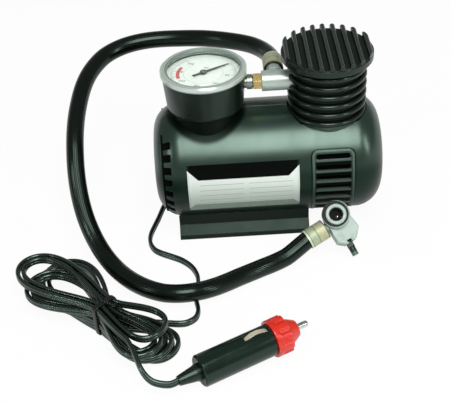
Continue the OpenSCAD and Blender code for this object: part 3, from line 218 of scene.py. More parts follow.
def softened(node, name, body, voxel, passes):
    """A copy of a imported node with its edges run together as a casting's or moulding's are."""
    piece = add(name, nodes[node].data.copy())
    remesh = piece.modifiers.new("remesh", "REMESH")
    remesh.mode = "VOXEL"
    remesh.voxel_size = voxel * MM
    smooth = piece.modifiers.new("smooth", "SMOOTH")
    smooth.factor = 0.5
    smooth.iterations = passes
    mesh = evaluated_mesh(piece)
    piece.modifiers.clear()
    piece.data = mesh
    mesh.name = name
    mesh.materials.clear()
    soften(piece, CAST_EDGE)
    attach(piece, body)
    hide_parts(node)
    return piece


# ---- cord and hose routes, repeated from the part's source ----
STEP_IN = 3.3
LAYER = 5.0
PER_LAYER = 2
LAYERS = 4
LOOPS = 8
START = 65.0
FINISH_AT = 300
TURNS = LOOPS - (START + 360 - FINISH_AT) / 360
HANK_AT = (-101.0, -97.0)
HANK_TURN = math.radians(-45.5)
WAIST = (8.0, -1.0)
HALF_WAIST = STEP_IN * PER_LAYER + 1
# Each layer's lobe: reach, half width, turn in degrees.
LEFT_LOBES = [(66, 25, -13), (60, 22, -1), (55, 21, 11), (67, 23, 5)]
RIGHT_LOBES = [(46, 20, 15), (43, 19, 4), (44, 19, -5), (42, 20, 9)]
LOBE_TURN_FADE = 0.04
LOBE_WIDTH_FADE = 0.25
LYING_Z = 2.2
WAIST_RISE = 1.3
CLIMB_AT = 25 / 360
CLIMB_LENGTH = 28 / 360
HANK_ROWS_PER_TURN = 96
CORD_STEP = 1.6
HOSE_STEP = 1.8
STRAIGHT = 4.4
INTO_RELIEF = 3


def smoothstep(s):
    s = max(0.0, min(1.0, s))
    return s * s * (3 - 2 * s)


def fade(q, k):
    return (1 + k) * q / (q + k)


def hank_layer(n):
    return max(0, min(LAYERS - 1, math.floor(n / PER_LAYER)))


def hank_outer(a, lobe):
    """A point of a lobe's outermost loop, at an angle in degrees."""
    c, s = math.cos(math.radians(a)), math.sin(math.radians(a))
    q = abs(c)
    reach, half_width, degrees = lobe
    turn = math.radians(degrees * fade(q * q, LOBE_TURN_FADE))
    x = reach * c
    y = (HALF_WAIST + half_width * q * fade(q, LOBE_WIDTH_FADE)) * s
    return np.array(
        [
            WAIST[0] + x * math.cos(turn) - y * math.sin(turn),
            WAIST[1] + x * math.sin(turn) + y * math.cos(turn),
        ]
    )


def in_hank(x, y, z):
    """A point of the hank's own plan, put where the hank lies."""
    c, s = math.cos(HANK_TURN), math.sin(HANK_TURN)
    return np.array([HANK_AT[0] + x * c - y * s, HANK_AT[1] + x * s + y * c, z])


def hank_point(u):
    """The cord's middle after u turns of the hank."""
    a = START + 360 * u
    if math.cos(math.radians(a)) < 0:
        lobe = LEFT_LOBES[hank_layer(math.floor((a - 90) / 360))]
    else:
        lobe = RIGHT_LOBES[hank_layer(math.floor((a + 90) / 360) - START / 360)]
    k = u / PER_LAYER
    part = k - math.floor(k)
    inset = STEP_IN * PER_LAYER * (part if math.floor(k) % 2 == 0 else 1 - part)
    p = hank_outer(a, lobe)
    t = unit(hank_outer(a + 0.1, lobe) - hank_outer(a - 0.1, lobe))
    x, y = p[0] - t[1] * inset, p[1] + t[0] * inset
    z = LYING_Z + WAIST_RISE * math.sin(math.radians(a)) ** 4
    for i in range(1, LAYERS):
        z += LAYER * smoothstep((u - i * PER_LAYER - CLIMB_AT) / CLIMB_LENGTH + 0.5)
    return in_hank(x, y, z)


CORD_START = [(-58, 6, 3.7), (-60, 6, 3.7), (-64.4, 6, 3.7)]
LEAD_ROUTE = [
    (-66, 4, 3.4), (-68, -2, 3), (-70, -9, 2.5), (-72.5, -17, 2.2), (-74.5, -25, 2.2),
    (-74.3, -33, 2.2), (-71, -40, 2.2), (-64, -45, 2.2), (-56, -50, 2.2), (-49.5, -57, 2.2),
    (-46, -66, 2.2), (-46, -76, 2.2), (-47.3, -85, 2.2), (-46, -94, 2.2), (-47.5, -101, 2.2),
    (-53.5, -105, 2.3), (-61.5, -104.6, 2.5),
]
TAIL_ROUTE = [
    (-82.5, -132, 17.4), (-79.6, -138.6, 17), (-77.2, -145, 15.6), (-74.3, -150.8, 13),
    (-69.5, -155, 10.4),
]
HOSE_START = [(6, 12, 92.8), (6, 24.5, 92.8)]
HOSE_ROUTE = [
    (3, 37, 91.5), (-5, 49, 90.5), (-18, 58.5, 89.3), (-34, 66, 88.2), (-51, 69.5, 87.5),
    (-69, 69.5, 87.5), (-85, 65.5, 86.7), (-98.5, 56.5, 84.5), (-108.5, 39, 80),
    (-113, 22, 73.3), (-115, 5, 65.5), (-115.3, -9.5, 56), (-114.8, -20, 45.5),
    (-112.8, -30, 34), (-109, -39.5, 24), (-102, -52, 15.5), (-92, -66, 11), (-79, -79.5, 10.3),
    (-64, -87.8, 10.3), (-49, -88.4, 10.2), (-35, -82.5, 8.4), (-22, -73.5, 6.4),
    (-8, -65.5, 5.7), (7, -58.7, 7.2),
]

hank_rows = round(TURNS * HANK_ROWS_PER_TURN)
hank = np.array([hank_point(i * TURNS / hank_rows) for i in range(hank_rows + 1)])
lead_in = unit(hank[1] - hank[0])
lead_out = unit(hank[-1] - hank[-2])
lead = curve_through(
    CORD_START + LEAD_ROUTE + [hank[0] - STRAIGHT * lead_in, hank[0]], CORD_STEP
)
tail = curve_through(
    [hank[-1], hank[-1] + STRAIGHT * lead_out] + TAIL_ROUTE
    + [RELIEF_END - STRAIGHT * PLUG_AXIS, RELIEF_END, RELIEF_END + INTO_RELIEF * PLUG_AXIS],
    CORD_STEP,
)
cord_path = np.vstack([lead[:-1], hank, tail[1:]])

# The twin cord's section: two round wires, one on the other, with a groove on each side.
WIRE_R, WIRE_UP = 1.25, 0.95
ARC_POINTS = 13
past_middle = math.degrees(math.asin(WIRE_UP / WIRE_R))
arc = [
    math.radians(-past_middle + (180 + 2 * past_middle) * (i + 0.5) / ARC_POINTS)
    for i in range(ARC_POINTS)
]
twin = [(WIRE_R * math.cos(a), WIRE_UP + WIRE_R * math.sin(a)) for a in arc]
twin.append((-math.sqrt(WIRE_R**2 - WIRE_UP**2), 0.0))
twin += [(-x, -y) for x, y in twin]
power_cord = tube("power_cord", cord_path, twin, "root")
power_cord.data.name = "power_cord"

hose_path = curve_through(
    HOSE_START + HOSE_ROUTE + [INLET + FERRULE_LENGTH * INLET_AXIS, INLET], HOSE_STEP
)
# The hose is round, with fine grooves along it.
HOSE_R = 5.3
GROOVES = 22
GROOVE_DEPTH = 0.07
GROOVE_POINTS = 6
hose_section = []
for i in range(GROOVES * GROOVE_POINTS):
    a = 2 * math.pi * i / (GROOVES * GROOVE_POINTS)
    r = HOSE_R - GROOVE_DEPTH * (0.5 + 0.5 * math.cos(GROOVES * a)) ** 2
    hose_section.append((r * math.cos(a), r * math.sin(a)))
hose = tube("air_hose_rubber", hose_path, hose_section, "root", upright=False)
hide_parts("cord_lead", "cord_hank", "cord_tail")
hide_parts("air_hose")


# ---- small pieces ----
STRAP_SIDE = 1.62
STRAP_OVER = 1.34
STRAP_ROWS = 120
STRAP_TOP = 1.15
# The strap's section as (lift off the wires, place across).
STRAP_PROFILE = [
    (0.0, -1.5), (0.45, -1.45), (0.7, -0.9), (0.62, 0.0), (0.7, 0.9), (0.45, 1.45), (0.0, 1.5),
]
TWIST_POINTS = 60
TWIST_TURN = 5.5 * math.pi
TWIST_R = 0.52
TWIST_FREE = 0.75
TIP_R = 0.4
TIP_SPREAD = 4.0
TWIST_WIRE_R = 0.42
TWIST_LENGTH = 9.5


def half_hull(ordered):
    """One side of the convex outline round points that are sorted along it."""
    out = []
    for p in ordered:
        while len(out) > 1:
            a, b = out[-2], out[-1]
            if (b[0] - a[0]) * (p[1] - a[1]) - (b[1] - a[1]) * (p[0] - a[0]) > 0:
                break
            out.pop()
        out.append(p)
    return out[:-1]


def waist_outline():
    """The outline in the plane of the waist that a strap drawn round all the wires takes."""
    c, s = math.cos(HANK_TURN), math.sin(HANK_TURN)
    flat = hank[:, :2] - np.array(HANK_AT)
    local = np.stack(
        [flat[:, 0] * c + flat[:, 1] * s, flat[:, 1] * c - flat[:, 0] * s, hank[:, 2]], 1
    )
    around_wires = set()
    for p, q in zip(local[:-1], local[1:]):
        if (p[0] - WAIST[0]) * (q[0] - WAIST[0]) <= 0 and abs(q[0] - p[0]) > 1e-9:
            y, z = (p + (WAIST[0] - p[0]) / (q[0] - p[0]) * (q - p))[1:]
            for side in (-WIRE_UP, WIRE_UP):
                for degrees in range(0, 360, 15):
                    a = math.radians(degrees)
                    around_wires.add(
                        (y + STRAP_SIDE * math.cos(a), z + side + STRAP_OVER * math.sin(a))
                    )
    points = sorted(around_wires)
    return np.array(half_hull(points) + half_hull(points[::-1]))


def tie_pieces():
    """A thin strap drawn snug round the hank's waist, and its twisted ends lying along the top."""
    hull = waist_outline()
    closed = np.vstack([hull, hull[:1]])
    run = np.concatenate([[0], np.cumsum(np.linalg.norm(np.diff(closed, axis=0), axis=1))])
    at = np.linspace(0, run[-1], STRAP_ROWS, endpoint=False)
    ring = np.stack([np.interp(at, run, closed[:, i]) for i in range(2)], 1)
    for _ in range(3):
        ring = (ring + 0.5 * np.roll(ring, 1, 0) + 0.5 * np.roll(ring, -1, 0)) / 2
    way = np.roll(ring, -1, 0) - np.roll(ring, 1, 0)
    outward = np.stack([way[:, 1], -way[:, 0]], 1) / np.linalg.norm(way, axis=1)[:, None]
    verts = [
        in_hank(WAIST[0] + across, *(ring[i] + outward[i] * lift))
        for i in range(STRAP_ROWS)
        for lift, across in STRAP_PROFILE
    ]
    faces = closed_bands(STRAP_ROWS, len(STRAP_PROFILE))
    strap = put("tie_strap", verts, faces, "root")
    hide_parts("cord_tie")
    return [strap] + twisted_ends(ring[:, 0].mean(), ring[:, 1].max() + STRAP_TOP)


def twisted_ends(middle, top):
    """The strap's two ends, wound round each other and spread apart at the tip."""
    corners = [math.pi * j / 4 for j in range(8)]
    section = [(TWIST_WIRE_R * math.cos(b), TWIST_WIRE_R * math.sin(b)) for b in corners]
    ends = []
    for phase in (0.0, math.pi):
        path = []
        for k in range(TWIST_POINTS + 1):
            t = k / TWIST_POINTS
            a = phase + t * TWIST_TURN
            spread = TWIST_R + TIP_SPREAD * max(0.0, t - TWIST_FREE)
            lift = TWIST_R if t < TWIST_FREE else TIP_R
            path.append(
                in_hank(
                    WAIST[0] - 2.0 + TWIST_LENGTH * t,
                    middle - 1.5 + 2.5 * t + spread * math.cos(a),
                    top + lift * math.sin(a) - 0.5 * t,
                )
            )
        name = "tie_end_%d" % len(ends)
        ends.append(tube(name, path, section, "root", upright=False))
    return ends


def plunger_pin():
    """The little stem that stands on the plunger and pushes a tyre valve's core."""
    profile = [
        (0.0, 0.0), (1.15, 0.0), (1.15, 0.35), (0.95, 0.5), (0.62, 0.62), (0.58, 1.1),
        (0.4, 1.32), (0.0, 1.4),
    ]
    off_centre = CHUCK_TURN @ np.array([1.1, -0.9, 0.0])
    foot = CHUCK_AT + CHUCK_TURN @ np.array([0.0, 0.0, PLUNGER_TOP]) + off_centre
    return lathe("plunger_pin", profile, 24, foot, CHUCK_TURN, "plunger")


# Near-black sheets inside the casing that stand in for the shade behind the vents: their inner and
# outer radius, and the steps round them.
SHADE_SHEET_R = (31.0, 31.6)
SHADE_SHEET_STEPS = 28
# Each painted-shade sheet's name, its ends along X and the angles it spans round the casing.
SHADE_SHEETS = (
    ("front_right", 27, 59, 140, 262),
    ("rear_right", 27, 59, -82, 40),
    ("front_left", -63, -50, 118, 262),
    ("rear_left", -63, -50, -82, 62),
)


def vent_shade_sheets():
    """Near-black sheets inside the casing, behind the louvres and the shoulder vents, that stand in
    for the shade in there.
    """
    made = []
    r0, r1 = SHADE_SHEET_R
    for name, x0, x1, first, last in SHADE_SHEETS:
        verts = []
        for i in range(SHADE_SHEET_STEPS + 1):
            a = math.radians(first + (last - first) * i / SHADE_SHEET_STEPS)
            for r, x in ((r0, x0), (r1, x0), (r1, x1), (r0, x1)):
                verts.append((x, r * math.cos(a), CASING_AXIS_Z + r * math.sin(a)))
        faces = closed_bands(SHADE_SHEET_STEPS + 1, 4)[:-4]
        end = 4 * SHADE_SHEET_STEPS
        faces += [(0, 1, 2, 3), (end + 3, end + 2, end + 1, end)]
        made.append(put("vent_shade_sheet_" + name, verts, faces, "root"))
    return made


tie = tie_pieces()
shade_sheets = vent_shade_sheets()
valve_pin = plunger_pin()
lever_sleeve = softened("chuck_lever", "lever_sleeve", "lever", 0.22, 5)
chuck_casting = softened("chuck_body", "chuck_casting", "root", 0.3, 6)
nose_moulding = softened("plug_nose", "nose_moulding", "nose", 0.3, 5)


# ---- finishes ----
def linear(r, g, b):
    """A colour from its 0 to 255 values as seen on a screen."""
    out = [
        (c / 255 / 12.92) if c <= 10 else ((c / 255 + 0.055) / 1.055) ** 2.4 for c in (r, g, b)
    ]
    return (*out, 1.0)


def shades(colour, spread):
    """A darker and a lighter shade of a colour."""
    low = tuple(c * (1 - spread) for c in colour[:3]) + (1.0,)
    high = tuple(min(1.0, c * (1 + spread)) for c in colour[:3]) + (1.0,)
    return low, high


def feed(tree, place, value):
    """A value for a node's input, or a link where the value is another node's output."""
    if isinstance(value, bpy.types.NodeSocket):
        tree.links.new(value, place)
    else:
        place.default_value = value


class Finish:
    """A procedural material on the Principled shader, in millimetres of the object's frame."""

    def __init__(self, name, **shader):
        self.material = bpy.data.materials.new(name)
        self.material.use_nodes = True
        self.tree = self.material.node_tree
        self.tree.nodes.clear()
        out = self.node("ShaderNodeOutputMaterial")
        self.shader = self.node("ShaderNodeBsdfPrincipled")
        self.set(**shader)
        self.tree.links.new(self.shader.outputs[0], out.inputs[0])
        coords = self.node("ShaderNodeTexCoord").outputs["Object"]
        self.mm = self.vector("SCALE", coords, scale=1000.0)

    def node(self, kind, settings=None, inputs=None):
        made = self.tree.nodes.new(kind)
        for key, value in (settings or {}).items():
            setattr(made, key, value)
        for key, value in (inputs or {}).items():
            feed(self.tree, made.inputs[key], value)
        return made

    def math(self, operation, a, b=0.0):
        made = self.node("ShaderNodeMath", {"operation": operation}, {0: a, 1: b})
        return made.outputs[0]

    def plus(self, a, b):
        return self.math("ADD", a, b)

    def minus(self, a, b):
        return self.math("SUBTRACT", a, b)

    def times(self, a, b):
        return self.math("MULTIPLY", a, b)

    def larger(self, a, b):
        return self.math("MAXIMUM", a, b)

    def away(self, a, b):
        """How far a is from b, on either side."""
        return self.math("ABSOLUTE", self.minus(a, b))

    def length(self, a, b):
        return self.math("SQRT", self.plus(self.times(a, a), self.times(b, b)))

    def vector(self, operation, a, b=None, scale=None):
        made = self.node("ShaderNodeVectorMath", {"operation": operation}, {0: a})
        if b is not None:
            feed(self.tree, made.inputs[1], b)
        if scale is not None:
            made.inputs["Scale"].default_value = scale
        return made.outputs["Value" if operation in ("DOT_PRODUCT", "LENGTH") else "Vector"]

    def along(self, start, axis):
        """The distance from a point along an axis."""
        return self.vector("DOT_PRODUCT", self.vector("SUBTRACT", self.mm, start), axis)

    def axes(self):
        made = self.node("ShaderNodeSeparateXYZ", None, {0: self.mm})
        return made.outputs[0], made.outputs[1], made.outputs[2]

    def step(self, value, low, high, to_low=0.0, to_high=1.0):
        ends = {"From Min": low, "From Max": high, "To Min": to_low, "To Max": to_high}
        settings = {"interpolation_type": "SMOOTHSTEP"}
        return self.node("ShaderNodeMapRange", settings, {"Value": value, **ends}).outputs["Result"]

    def band(self, value, low, high, soft):
        """1 between low and high, with soft ends."""
        rising = self.step(value, low - soft, low + soft)
        return self.times(rising, self.step(value, high - soft, high + soft, 1.0, 0.0))

    def noise(self, scale, detail=4.0, roughness=0.6, stretch=None):
        place = self.vector("MULTIPLY", self.mm, stretch) if stretch else self.mm
        inputs = {"Vector": place, "Scale": scale, "Detail": detail, "Roughness": roughness}
        return self.node("ShaderNodeTexNoise", None, inputs).outputs["Fac"]

    def patches(self, low, high, *noise):
        """A mask that is 1 in the noise's peaks."""
        return self.step(self.noise(*noise), low, high)

    def uneven(self, least, spread, *noise):
        """A roughness that varies with the noise, from the least value up."""
        return self.plus(self.times(self.noise(*noise), spread), least)

    def mix(self, factor, a, b):
        made = self.node("ShaderNodeMix", {"data_type": "RGBA"}, {0: factor, 6: a, 7: b})
        return made.outputs[2]

    def paint(self, base, mask, share, colour):
        """A colour laid over the base where the mask is, in part."""
        return self.mix(self.times(mask, share), base, colour)

    def edges(self, radius):
        """A normal rounded over the edges, and a mask that is 1 on them."""
        bevel = self.node("ShaderNodeBevel", {"samples": 6}, {"Radius": radius * MM}).outputs[0]
        plain = self.node("ShaderNodeNewGeometry").outputs["Normal"]
        return bevel, self.step(self.vector("DOT_PRODUCT", bevel, plain), 0.8, 0.985, 1.0, 0.0)

    def set(self, **values):
        for key, value in values.items():
            feed(self.tree, self.shader.inputs[key.replace("_", " ")], value)

    def done(self, base, rough, height, depth, strength, normal=None, **more):
        """The last step: colour, roughness and a relief of the height times the depth."""
        inputs = {"Height": height, "Distance": depth * MM, "Strength": strength}
        if normal is not None:
            inputs["Normal"] = normal
        relief = self.node("ShaderNodeBump", None, inputs).outputs[0]
        self.set(Base_Color=base, Roughness=rough, Normal=relief, **more)
        return self


def give(finish, *targets):
    """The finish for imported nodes, by name, and for pieces made here."""
    for target in targets:
        piece = nodes[target] if isinstance(target, str) else target
        if piece.material_slots:
            for place in piece.material_slots:
                place.material = finish.material
        else:
            piece.data.materials.append(finish.material)


GREEN_GLOSS = (0.72, 1.0, 0.85, 1.0)
RUBBED = linear(120, 130, 122)
DUST = linear(150, 158, 150)


def moulded(name, colour, roughness=0.35, spread=0.25, grain=0.02, grain_scale=2.2, edge=0.35,
            wear_and_highlight=RUBBED, worn_share=0.35, specular=0.5, tint=None, dust=0.0):
    """Moulded plastic or rubber: fine grain, uneven gloss, soft edges that are rubbed paler."""
    finish = Finish(name, Specular_IOR_Level=specular)
    if tint:
        finish.set(Specular_Tint=tint)
    base = finish.mix(finish.noise(0.06), *shades(colour, spread))
    normal, rim = finish.edges(edge)
    rub = finish.times(rim, finish.patches(0.35, 0.65, 0.5))
    base = finish.paint(base, rub, worn_share, wear_and_highlight)
    if dust:
        base = finish.paint(base, finish.patches(0.7, 0.8, 1.6, 2.0, 0.7), dust, DUST)
    rough = finish.uneven(roughness - 0.08, 0.16, 0.11, 5.0, 0.65)
    fine = finish.noise(grain_scale, 2.0, 0.5)
    return finish.done(base, rough, fine, grain, 0.6, normal)


def metal(name, colour, roughness=0.25, spread=0.15, grain=0.006, stretch=(1.0, 1.0, 1.0),
          edge=0.25, metallic=1.0, stain=None, stain_share=0.25, scale=1.6):
    """Turned, plated or cast metal: fine tool lines, stained patches, bright edges."""
    finish = Finish(name, Metallic=metallic)
    lines = finish.noise(scale, 3.0, 0.6, stretch)
    base = finish.mix(lines, *shades(colour, spread))
    patches = finish.patches(0.45, 0.75, 0.22)
    if stain:
        base = finish.paint(base, patches, stain_share, stain)
    normal, rim = finish.edges(edge)
    base = finish.paint(base, rim, 0.5, shades(colour, 0.3)[1])
    rough = finish.plus(finish.times(patches, 0.14), roughness - 0.04)
    return finish.done(base, rough, lines, grain, 0.7, normal)


def skin(name, colour, roughness, specular, grain):
    """Smooth PVC or rubber on something long and round: smudged gloss and a very fine grain."""
    finish = Finish(name, Specular_IOR_Level=specular, Specular_Tint=GREEN_GLOSS)
    base = finish.mix(finish.noise(0.08), *shades(colour, 0.3))
    rough = finish.uneven(roughness - 0.05, 0.1, 0.15)
    return finish.done(base, rough, finish.noise(1.3, 2.0, 0.5), grain, 0.5)


# The louvre panel: its middle and half width along X, its top slot's angle above the casing's
# axis and the angle from slot to slot, and the raised border round it.
LOUVRE_X = 37.0
LOUVRE_HALF = 10.4
LOUVRE_TOP = 28.0
LOUVRE_STEP = 11.0
LOUVRE_GAPS = 6
BORDER_X = 11.6
BORDER_ANGLE = 38.25
BORDER_ROUND = 3.0
# Inner and outer radius of the painted shadow round the gauge's foot.
GAUGE_SHADOW_R = (22.0, 26.0)


def louvre_masks(finish, x, angle):
    """The louvre bars' painted lit and shaded parts, a painted highlight on the raised border and
    painted shade just outside it.
    """
    below = finish.math("FLOORED_MODULO", finish.minus(LOUVRE_TOP, angle), LOUVRE_STEP)
    lowest = LOUVRE_TOP - LOUVRE_GAPS * LOUVRE_STEP
    panel = finish.times(
        finish.band(x, LOUVRE_X - LOUVRE_HALF, LOUVRE_X + LOUVRE_HALF, 0.4),
        finish.band(angle, lowest, LOUVRE_TOP, 0.5),
    )
    shaded = finish.times(panel, finish.step(below, 4.6, 5.6))
    lit = finish.times(panel, finish.band(below, 2.0, 4.6, 0.3))
    aside = finish.minus(finish.away(x, LOUVRE_X), BORDER_X - BORDER_ROUND)
    rise = finish.times(finish.away(angle, (LOUVRE_TOP + lowest) / 2), CASING_R / DEGREES)
    rise = finish.minus(rise, CASING_R * BORDER_ANGLE / DEGREES - BORDER_ROUND)
    from_border = finish.length(finish.larger(aside, 0.0), finish.larger(rise, 0.0))
    # The painted border light and shade are stronger higher up round the casing, where more light
    # falls.
    high_up = finish.step(angle, -25.0, 30.0, 0.25, 0.75)
    rail_highlight = finish.band(from_border, BORDER_ROUND - 0.6, BORDER_ROUND + 0.6, 0.15)
    border_shade = finish.band(from_border, BORDER_ROUND + 0.85, BORDER_ROUND + 1.6, 0.2)
    return lit, shaded, finish.times(rail_highlight, high_up), finish.times(border_shade, high_up)


def casing_finish():
    """Satin black-green moulding: painted light and shade on the louvre bars and their border, a
    dark seam with a painted highlight on its lip, a foot of painted shadow round the gauge.
    """
    finish = Finish("casing_plastic", Specular_Tint=GREEN_GLOSS)
    x, y, z = finish.axes()
    on_top = finish.step(z, 60.0, 66.0)
    base = finish.mix(finish.noise(0.05), *shades(linear(12, 31, 23), 0.3))
    normal, rim = finish.edges(0.45)
    rub = finish.times(rim, finish.patches(0.4, 0.7, 0.4))
    base = finish.paint(base, rub, 0.3, linear(88, 106, 94))
    # Painted highlight: a pale line along the lip of the seam on top.
    lip = finish.times(finish.band(y, -0.42, -0.08, 0.06), on_top)
    base = finish.paint(base, lip, 0.8, linear(140, 158, 146))
    seam = finish.band(y, -0.04, 0.3, 0.05)
    base = finish.mix(seam, base, linear(3, 5, 4))
    height = finish.minus(z, CASING_AXIS_Z)
    angle = finish.times(finish.math("ARCTAN2", height, finish.math("ABSOLUTE", y)), DEGREES)
    lit, shaded, rail_highlight, border_shade = louvre_masks(finish, x, angle)
    # Painted highlight on the bars' upper parts, painted shade below them, a painted highlight on
    # the border's rail and painted shade outside the border.
    base = finish.paint(base, lit, 0.75, linear(78, 90, 82))
    base = finish.paint(base, shaded, 0.9, linear(2, 3, 2))
    base = finish.paint(base, rail_highlight, 0.7, linear(96, 122, 108))
    base = finish.mix(border_shade, base, linear(3, 8, 5))
    from_gauge = finish.length(finish.minus(x, GAUGE_X), y)
    # Painted shadow: a dark ring on the casing round the foot of the gauge.
    foot = finish.times(finish.step(from_gauge, *GAUGE_SHADOW_R, 1.0, 0.0), on_top)
    base = finish.paint(base, foot, 0.85, linear(3, 6, 4))
    # Less gloss where shade or shadow is painted.
    dull = finish.larger(finish.larger(shaded, foot), border_shade)
    polish = finish.step(angle, 8.0, 32.0, 0.22, 1.0)
    gloss = finish.times(polish, finish.step(dull, 0.0, 1.0, 1.0, 0.12))
    scuffs = finish.patches(0.62, 0.78, 0.9, 5.0, 0.7, (0.25, 1.0, 1.0))
    rough = finish.uneven(0.2, 0.22, 0.06, 5.0, 0.62, (1.0, 0.22, 0.22))
    rough = finish.plus(rough, finish.times(scuffs, 0.07))
    relief = finish.minus(finish.noise(1.8, 2.0, 0.5), finish.times(seam, 14.0))
    return finish.done(base, rough, relief, 0.012, 0.6, normal, Specular_IOR_Level=gloss)


FIN_DEEP_R, FIN_EDGE_R = 19.6, 22.4
CAP_UNDER_Z = 105.0
RIB_LOW_Z, RIB_TOP_Z = 110.0, 113.2
RIB_END_R = 25.4


def cover_finish():
    """Black enamel on the finned cover: glossy on the fins and ribs, with painted shade in the
    grooves between them and a painted highlight on the ribs' tops.
    """
    finish = Finish("cover_enamel", Specular_Tint=GREEN_GLOSS)
    x, y, z = finish.axes()
    radius = finish.length(finish.minus(x, FIN_X), y)
    # Painted shade: the grooves between the fins and between the cap's ribs are darkened.
    below_cap = finish.step(z, CAP_UNDER_Z, CAP_UNDER_Z + 1.0, 1.0, 0.0)
    fin_groove_shade = finish.times(below_cap, finish.step(radius, FIN_DEEP_R, FIN_EDGE_R, 1.0, 0.0))
    below_ribs = finish.step(z, RIB_TOP_Z - 1.9, RIB_TOP_Z, 1.0, 0.0)
    rib_groove_shade = finish.times(finish.step(z, RIB_LOW_Z, RIB_LOW_Z + 0.6), below_ribs)
    inside = finish.step(radius, RIB_END_R, RIB_END_R + 0.5, 1.0, 0.0)
    groove = finish.larger(fin_groove_shade, finish.times(rib_groove_shade, inside))
    base = finish.mix(finish.noise(0.09), linear(8, 13, 10), linear(16, 24, 19))
    # Painted highlight: the flat tops of the cap's ribs are paler.
    crown_highlight = finish.step(z, RIB_TOP_Z, RIB_TOP_Z + 0.6)
    base = finish.paint(base, crown_highlight, 0.8, linear(40, 50, 43))
    normal, rim = finish.edges(0.5)
    rub = finish.times(rim, finish.patches(0.35, 0.65, 0.5))
    base = finish.paint(base, rub, 0.4, linear(92, 106, 95))
    # Painted shade in the grooves, nearly black.
    base = finish.paint(base, groove, 0.9, linear(2, 3, 2))
    rough = finish.larger(finish.uneven(0.16, 0.16, 0.2, 5.0, 0.6), finish.times(groove, 0.7))
    return finish.done(base, rough, finish.noise(1.3, 2.0, 0.5), 0.02, 0.5, normal)


def plug_finish():
    """Glossy black-green moulding whose flat tail end is dull."""
    finish = moulded("plug_plastic", linear(13, 25, 20), 0.16, tint=GREEN_GLOSS, edge=0.45,
                     wear_and_highlight=linear(128, 142, 130), worn_share=0.5)
    from_tail = finish.along(tuple(PLUG_TAIL), tuple(PLUG_AXIS))
    finish.set(Specular_IOR_Level=finish.step(from_tail, 0.05, 0.6, 0.06, 0.5))
    return finish


def lever_finish():
    """Black sleeve with a painted highlight in grey-green on its rounded end."""
    finish = Finish("lever_plastic", Specular_Tint=GREEN_GLOSS)
    reach = finish.vector("LENGTH", finish.vector("SUBTRACT", finish.mm, PIN_AT))
    mottle = finish.noise(0.8)
    base = finish.mix(mottle, linear(8, 14, 11), linear(18, 28, 22))
    # Painted highlight: grey-green on the rounded end, past a set distance from the pin.
    wear_and_highlight = finish.mix(mottle, linear(62, 76, 67), linear(104, 120, 108))
    base = finish.mix(finish.step(reach, 7.4, 9.0), base, wear_and_highlight)
    rough = finish.uneven(0.3, 0.2, 0.5)
    return finish.done(base, rough, finish.noise(2.0, 2.0, 0.5), 0.02, 0.5)


SEAT_R = 7.8


def collar_finish():
    """Black rubber seat round the mouth, in a pale cast rim that lies a little off centre."""
    finish = Finish("collar_rubber", Specular_IOR_Level=0.2)
    middle = CHUCK_AT + CHUCK_TURN @ np.array([-0.45, 0.3, 0.0])
    away = finish.vector("SUBTRACT", finish.mm, tuple(middle))
    across = finish.vector("CROSS_PRODUCT", away, tuple(CHUCK_TURN[:, 2]))
    mottle = finish.noise(0.8)
    seat = finish.mix(mottle, linear(12, 15, 13), linear(34, 38, 35))
    rim = finish.mix(mottle, linear(138, 156, 146), linear(164, 182, 172))
    base = finish.mix(
        finish.step(finish.vector("LENGTH", across), SEAT_R, SEAT_R + 0.2), seat, rim
    )
    rough = finish.uneven(0.42, 0.2, 0.5)
    return finish.done(base, rough, finish.noise(1.4, 2.0, 0.5), 0.02, 0.5)


HOSE_TAIL_Y = 12.0
FERRULE_WAIST = 6.4
FERRULE_LIP = 11.3


def ferrule_finish():
    """Crimped sleeves: pale brass, with a turned groove and a rolled lip at the hose."""
    finish = Finish("ferrule_brass", Metallic=0.4)
    _, y, z = finish.axes()
    low = finish.along(tuple(INLET), tuple(INLET_AXIS))
    high = finish.minus(y, HOSE_TAIL_Y)
    at_top = finish.step(z, 60.0, 61.0)
    along = finish.node("ShaderNodeMix", None, {0: at_top, 2: low, 3: high}).outputs[0]
    lip = finish.step(along, FERRULE_LIP, FERRULE_LIP + 0.3)
    groove = finish.larger(
        finish.band(along, FERRULE_WAIST - 0.3, FERRULE_WAIST + 0.3, 0.12),
        finish.band(along, FERRULE_LIP - 0.4, FERRULE_LIP, 0.1),
    )
    foot = finish.step(along, 0.3, 1.1, 1.0, 0.0)
    streaks = finish.noise(0.5)
    base = finish.mix(streaks, linear(160, 166, 128), linear(206, 208, 172))
    paler = finish.mix(streaks, linear(150, 164, 134), linear(196, 206, 176))
    base = finish.mix(finish.step(along, FERRULE_WAIST, FERRULE_WAIST + 0.1), base, paler)
    base = finish.paint(base, groove, 0.55, linear(84, 90, 62))
    base = finish.paint(base, lip, 0.6, linear(226, 236, 214))
    base = finish.paint(base, foot, 0.8, linear(28, 34, 24))
    height = finish.minus(finish.noise(1.0, 3.0, 0.5), finish.times(groove, 8.0))
    return finish.done(base, finish.uneven(0.42, 0.2, 0.4), height, 0.02, 0.6)


NUT_X = -7.4


